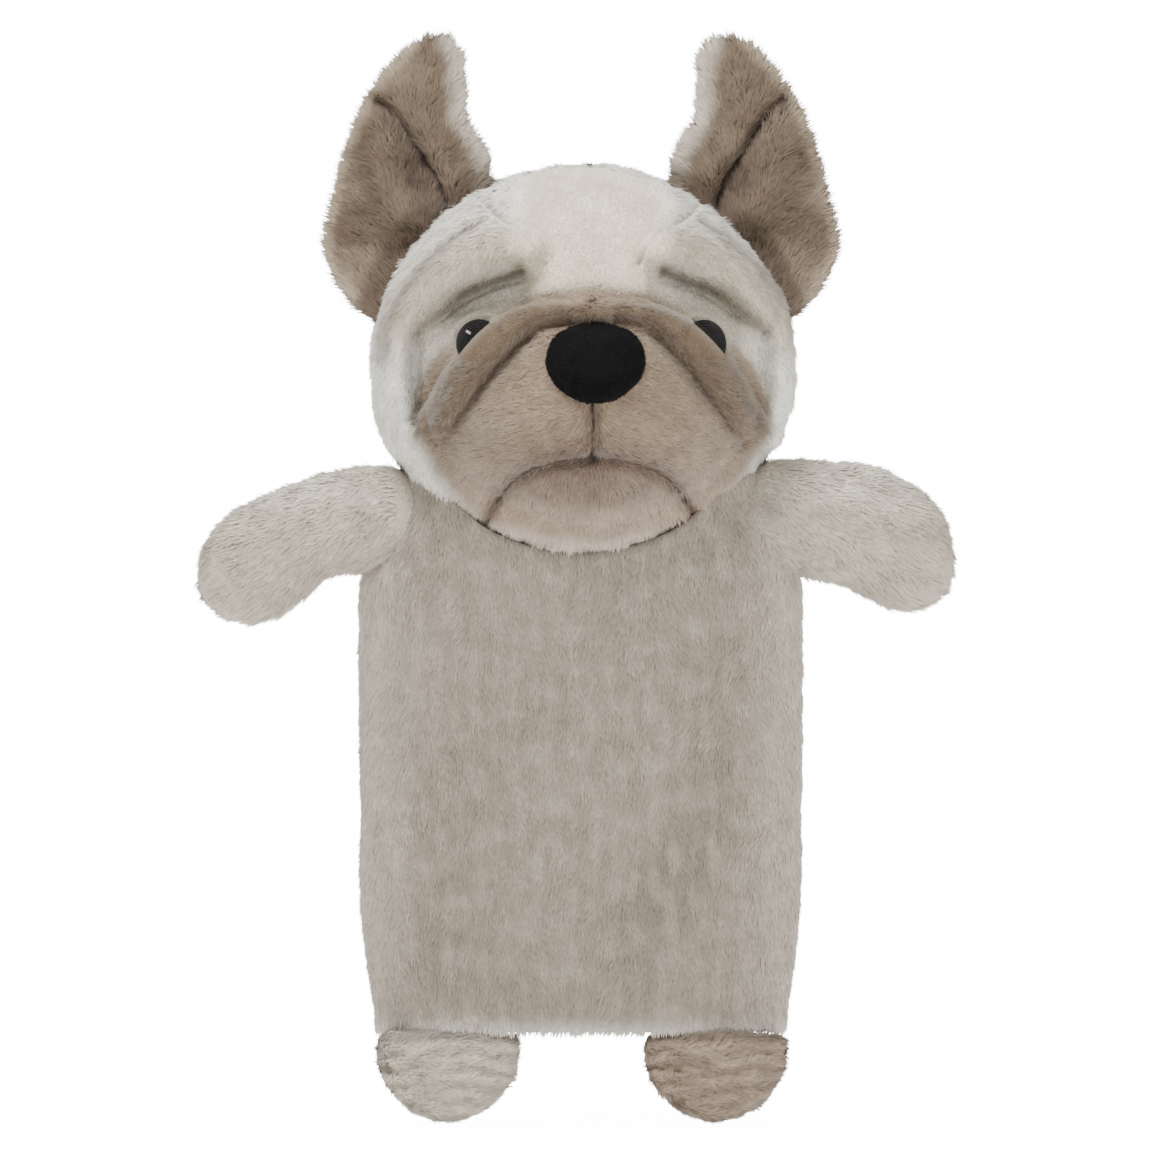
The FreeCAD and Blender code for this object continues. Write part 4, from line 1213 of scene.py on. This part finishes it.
def build_arm(side, top_line, bottom_line, seed):
    """Rings between the top line and the bottom one, each an oval whose ends are pinched a little
    where the two cloth pieces are sewn together."""
    around, rows = 110, 120
    top, bottom = curve_through(top_line, rows), curve_through(bottom_line, rows)
    u = np.linspace(0, 2 * np.pi, around, endpoint=False)
    v = np.linspace(0, 1, rows)[:, None]
    middle, half = (top + bottom) / 2, (top - bottom) / 2
    deep = 12.6 * np.sqrt(np.clip(1 - np.abs(2 * v - 1) ** 3.4, 0.004, 1)) * (0.9 + 0.1 * ease(0.35, 0.65, v))
    up = np.sin(u)
    x = middle[:, :1] + half[:, :1] * up
    z = middle[:, 1:] + half[:, 1:] * up
    y = -deep * np.sign(np.cos(u)) * np.abs(np.cos(u)) ** 0.85
    points = np.stack([x, y, z], axis=-1)
    outward = np.stack([0 * x, np.sign(y), 0.4 * up + 0 * x], axis=-1)
    points += 0.5 * ripple(points, 16, seed)[..., None] * outward
    return closed_skin(f"arm_skin_{side}", points * MM)


def arm_colour(points):
    """Pale plush, paler along the top as painted light from above, and darker near the shoulder as painted
    shade under the head.
    """
    x, z = np.abs(points[:, 0]) / MM, points[:, 2] / MM
    tone = np.broadcast_to([0.50, 0.435, 0.345], points.shape).copy()
    # Painted light and shade: the top of the arm is paler where the light falls from above, and the part near
    # the shoulder darker, in the shade under the head.
    tone = blend_colour(tone, [0.64, 0.58, 0.475], ease(136, 150, z) * 0.8)
    tone = blend_colour(tone, [0.42, 0.365, 0.30], ease(72, 58, x) * 0.6)
    return tone * (1 + 0.08 * ripple(points, 12 * MM, 75))[:, None]


def arm_comb(points):
    """Outwards along the arm and down."""
    return np.stack([np.sign(points[:, 0]) * 0.8, np.zeros(len(points)), -0.6 + 0 * points[:, 0]], axis=-1)


for side, seed in (("left", 72), ("right", 73)):
    arm = build_arm(side, *ARM_LINES[side], seed)
    puff(arm, 1.6)
    paint(arm, arm_colour(shape_of(arm)[0]))
    arm.data.materials.append(plush_backing)
    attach(arm, f"arm_{side}")
    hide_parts(f"arm_front_{side}", f"arm_back_{side}", f"paw_stuffing_{side}")
    for piece in sow(f"arm_pile_{side}", arm, f"arm_{side}", 3.1, lambda p: np.full(len(p), 2.8), arm_comb,
                     arm_colour, width=0.6, lift=0.42, keep=lambda p: np.abs(p[:, 0]) > 50 * MM,
                     seed=seed + 5):
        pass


# %% Feet
def build_foot(side, seed):
    """A half disc: v runs from the fold line to the sole, u goes round the flat section."""
    low, high = (corner / MM for corner in span(f"foot_front_{side}", f"foot_back_{side}"))
    middle_x, middle_y = (low[0] + high[0]) / 2, (low[1] + high[1]) / 2
    wide, deep = (high[0] - low[0]) / 2 - 1.0, (high[1] - low[1]) / 2 - 0.6
    top, sole = high[2] + 0.2, low[2] + 1.6
    around, rows = 150, 90
    u = np.linspace(0, 2 * np.pi, around, endpoint=False)
    v = np.linspace(0, 1, rows)[:, None]
    drop = np.sin(v * np.pi / 2) ** 1.1
    half_wide = wide * np.sqrt(np.clip(1 - drop**2.5, 0.0004, 1)) * (1 - 0.10 * (1 - v) ** 8)
    half_deep = deep * np.clip(np.sin(np.pi * (0.10 + 0.88 * v)), 0.05, 1) ** 0.6
    x = middle_x + half_wide * np.sign(np.cos(u)) * np.abs(np.cos(u)) ** 0.9
    y = middle_y - half_deep * np.sin(u)
    z = top - (top - sole) * drop * np.ones(around)
    points = np.stack([x, y, z], axis=-1)
    wave = np.sin(2 * np.pi * (z + 1.2 * np.sin(x / 5 + seed)) / 4.6)
    points[..., 1] -= 0.45 * wave * np.sign(np.sin(u)) * ease(0, 3, v * 20)
    points += 0.5 * ripple(points, 13, seed)[..., None] * np.array([0, 1, 0])
    return closed_skin(f"foot_skin_{side}", points * MM)


def foot_colour(base):
    """Wavy bands across the foot, between the base colour and a paler and a darker one, with painted shade at
    the top, under the sleeve's hem.
    """
    def colour(points):
        x, z = points[:, 0] / MM, points[:, 2] / MM
        band = np.sin(2 * np.pi * (z + 1.1 * np.sin(x / 4.2) + 0.6 * ripple(points, 9 * MM, 83)) / 4.6)
        tone = np.asarray(base) * (1 + 0.16 * band + 0.07 * ripple(points, 6 * MM, 84))[:, None]
        # Painted shade: the top of the foot, where it goes up under the sleeve's hem, is darkened.
        return blend_colour(tone, np.asarray(base) * 0.45, ease(-4.5, -1.0, z) * 0.8)
    return colour


def foot_comb(points):
    """Across the foot in waves."""
    x, z = points[:, 0] / MM, points[:, 2] / MM
    return np.stack([np.ones(len(points)), 0 * x, 0.5 * np.sin(x / 4.2 + z / 3)], axis=-1)


for side, sign, base, seed in (("left", 1, [0.27, 0.207, 0.152], 81), ("right", -1, [0.47, 0.41, 0.33], 82)):
    foot = build_foot(side, seed)
    puff(foot, 0.8)
    tones = foot_colour(base)
    paint(foot, tones(shape_of(foot)[0]))
    foot.data.materials.append(plush_backing)
    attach(foot, f"foot_{side}")
    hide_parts(f"foot_front_{side}", f"foot_back_{side}", f"foot_stuffing_{side}")
    for piece in sow(f"foot_pile_{side}", foot, f"foot_{side}", 5.0, lambda p: np.full(len(p), 2.2),
                     foot_comb,
                     tones, width=0.5, lift=0.45, seed=seed + 5):
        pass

# %% [markdown]
# ## Stage, light and camera
# A pale floor curves up into a backdrop. One large soft light stands high in front on the left,
# a weaker one on the right, and the camera looks straight at the puppet.

# %% Floor and backdrop
def build_stage(low_z):
    """A strip that runs from in front of the puppet back along the floor and up in an arc."""
    flat = np.array([[-3.0, 0.0], [0.6, 0.0]])
    arc = np.linspace(0, np.pi / 2, 24)
    curve = np.stack([0.6 + 0.8 * np.sin(arc), 0.8 * (1 - np.cos(arc))], axis=-1)
    line = np.vstack([flat, curve[1:], [[1.4, 4.0]]])
    rows = [np.stack([np.full(len(line), x), line[:, 0], line[:, 1] + low_z], axis=-1) for x in (-4.0, 4.0)]
    points = np.stack(rows)
    return add_mesh("backdrop", points.reshape(-1, 3), grid_faces(2, len(line), closed=False))


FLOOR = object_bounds()[0][2] - 0.0006
backdrop = build_stage(FLOOR)
paper, paper_tree, paper_shader = new_finish("pale_paper", 0.9)
paper_shader.inputs["Base Color"].default_value = (0.93, 0.93, 0.93, 1)
paper_shader.inputs["Emission Color"].default_value = (1, 1, 1, 1)
seen = node(paper_tree, "LightPath")
glow = node(paper_tree, "MapRange")
glow.inputs["To Min"].default_value = 0.5
glow.inputs["To Max"].default_value = 14.0
paper_tree.links.new(seen.outputs["Is Camera Ray"], glow.inputs["Value"])
paper_tree.links.new(glow.outputs["Result"], paper_shader.inputs["Emission Strength"])
backdrop.data.materials.append(paper)


# %% Lights and camera
def area_light(name, place, aim, size, power):
    """A square soft light at a place, turned towards the aim."""
    data = bpy.data.lights.new(name, "AREA")
    data.shape, data.size, data.energy = "SQUARE", size, power
    lamp = bpy.data.objects.new(name, data)
    bpy.context.scene.collection.objects.link(lamp)
    turn_towards(lamp, place, aim)


def turn_towards(thing, place, aim):
    """Stand at a place and look at the aim, upright."""
    thing.location = place
    thing.rotation_euler = (Vector(aim) - Vector(place)).to_track_quat("-Z", "Y").to_euler()


area_light("key", (-0.45, -0.75, 1.35), (0, 0, 0.13), 0.7, 47)
area_light("fill", (0.9, -0.9, 0.35), (0, 0, 0.13), 0.9, 10)
area_light("rim", (0.2, 0.35, 1.2), (0, 0, 0.15), 0.7, 8)
world = bpy.data.worlds.new("studio")
world.use_nodes = True
world.node_tree.nodes["Background"].inputs["Color"].default_value = (1, 1, 1, 1)
world.node_tree.nodes["Background"].inputs["Strength"].default_value = 0.45
bpy.context.scene.world = world

camera_data = bpy.data.cameras.new("camera")
camera_data.lens = 300
camera_data.sensor_width = 36
camera = bpy.data.objects.new("camera", camera_data)
bpy.context.scene.collection.objects.link(camera)
turn_towards(camera, (-0.0016, -2.623, 0.1245), (-0.0016, 0, 0.1245))
bpy.context.scene.camera = camera
print("floor at", round(FLOOR, 4))
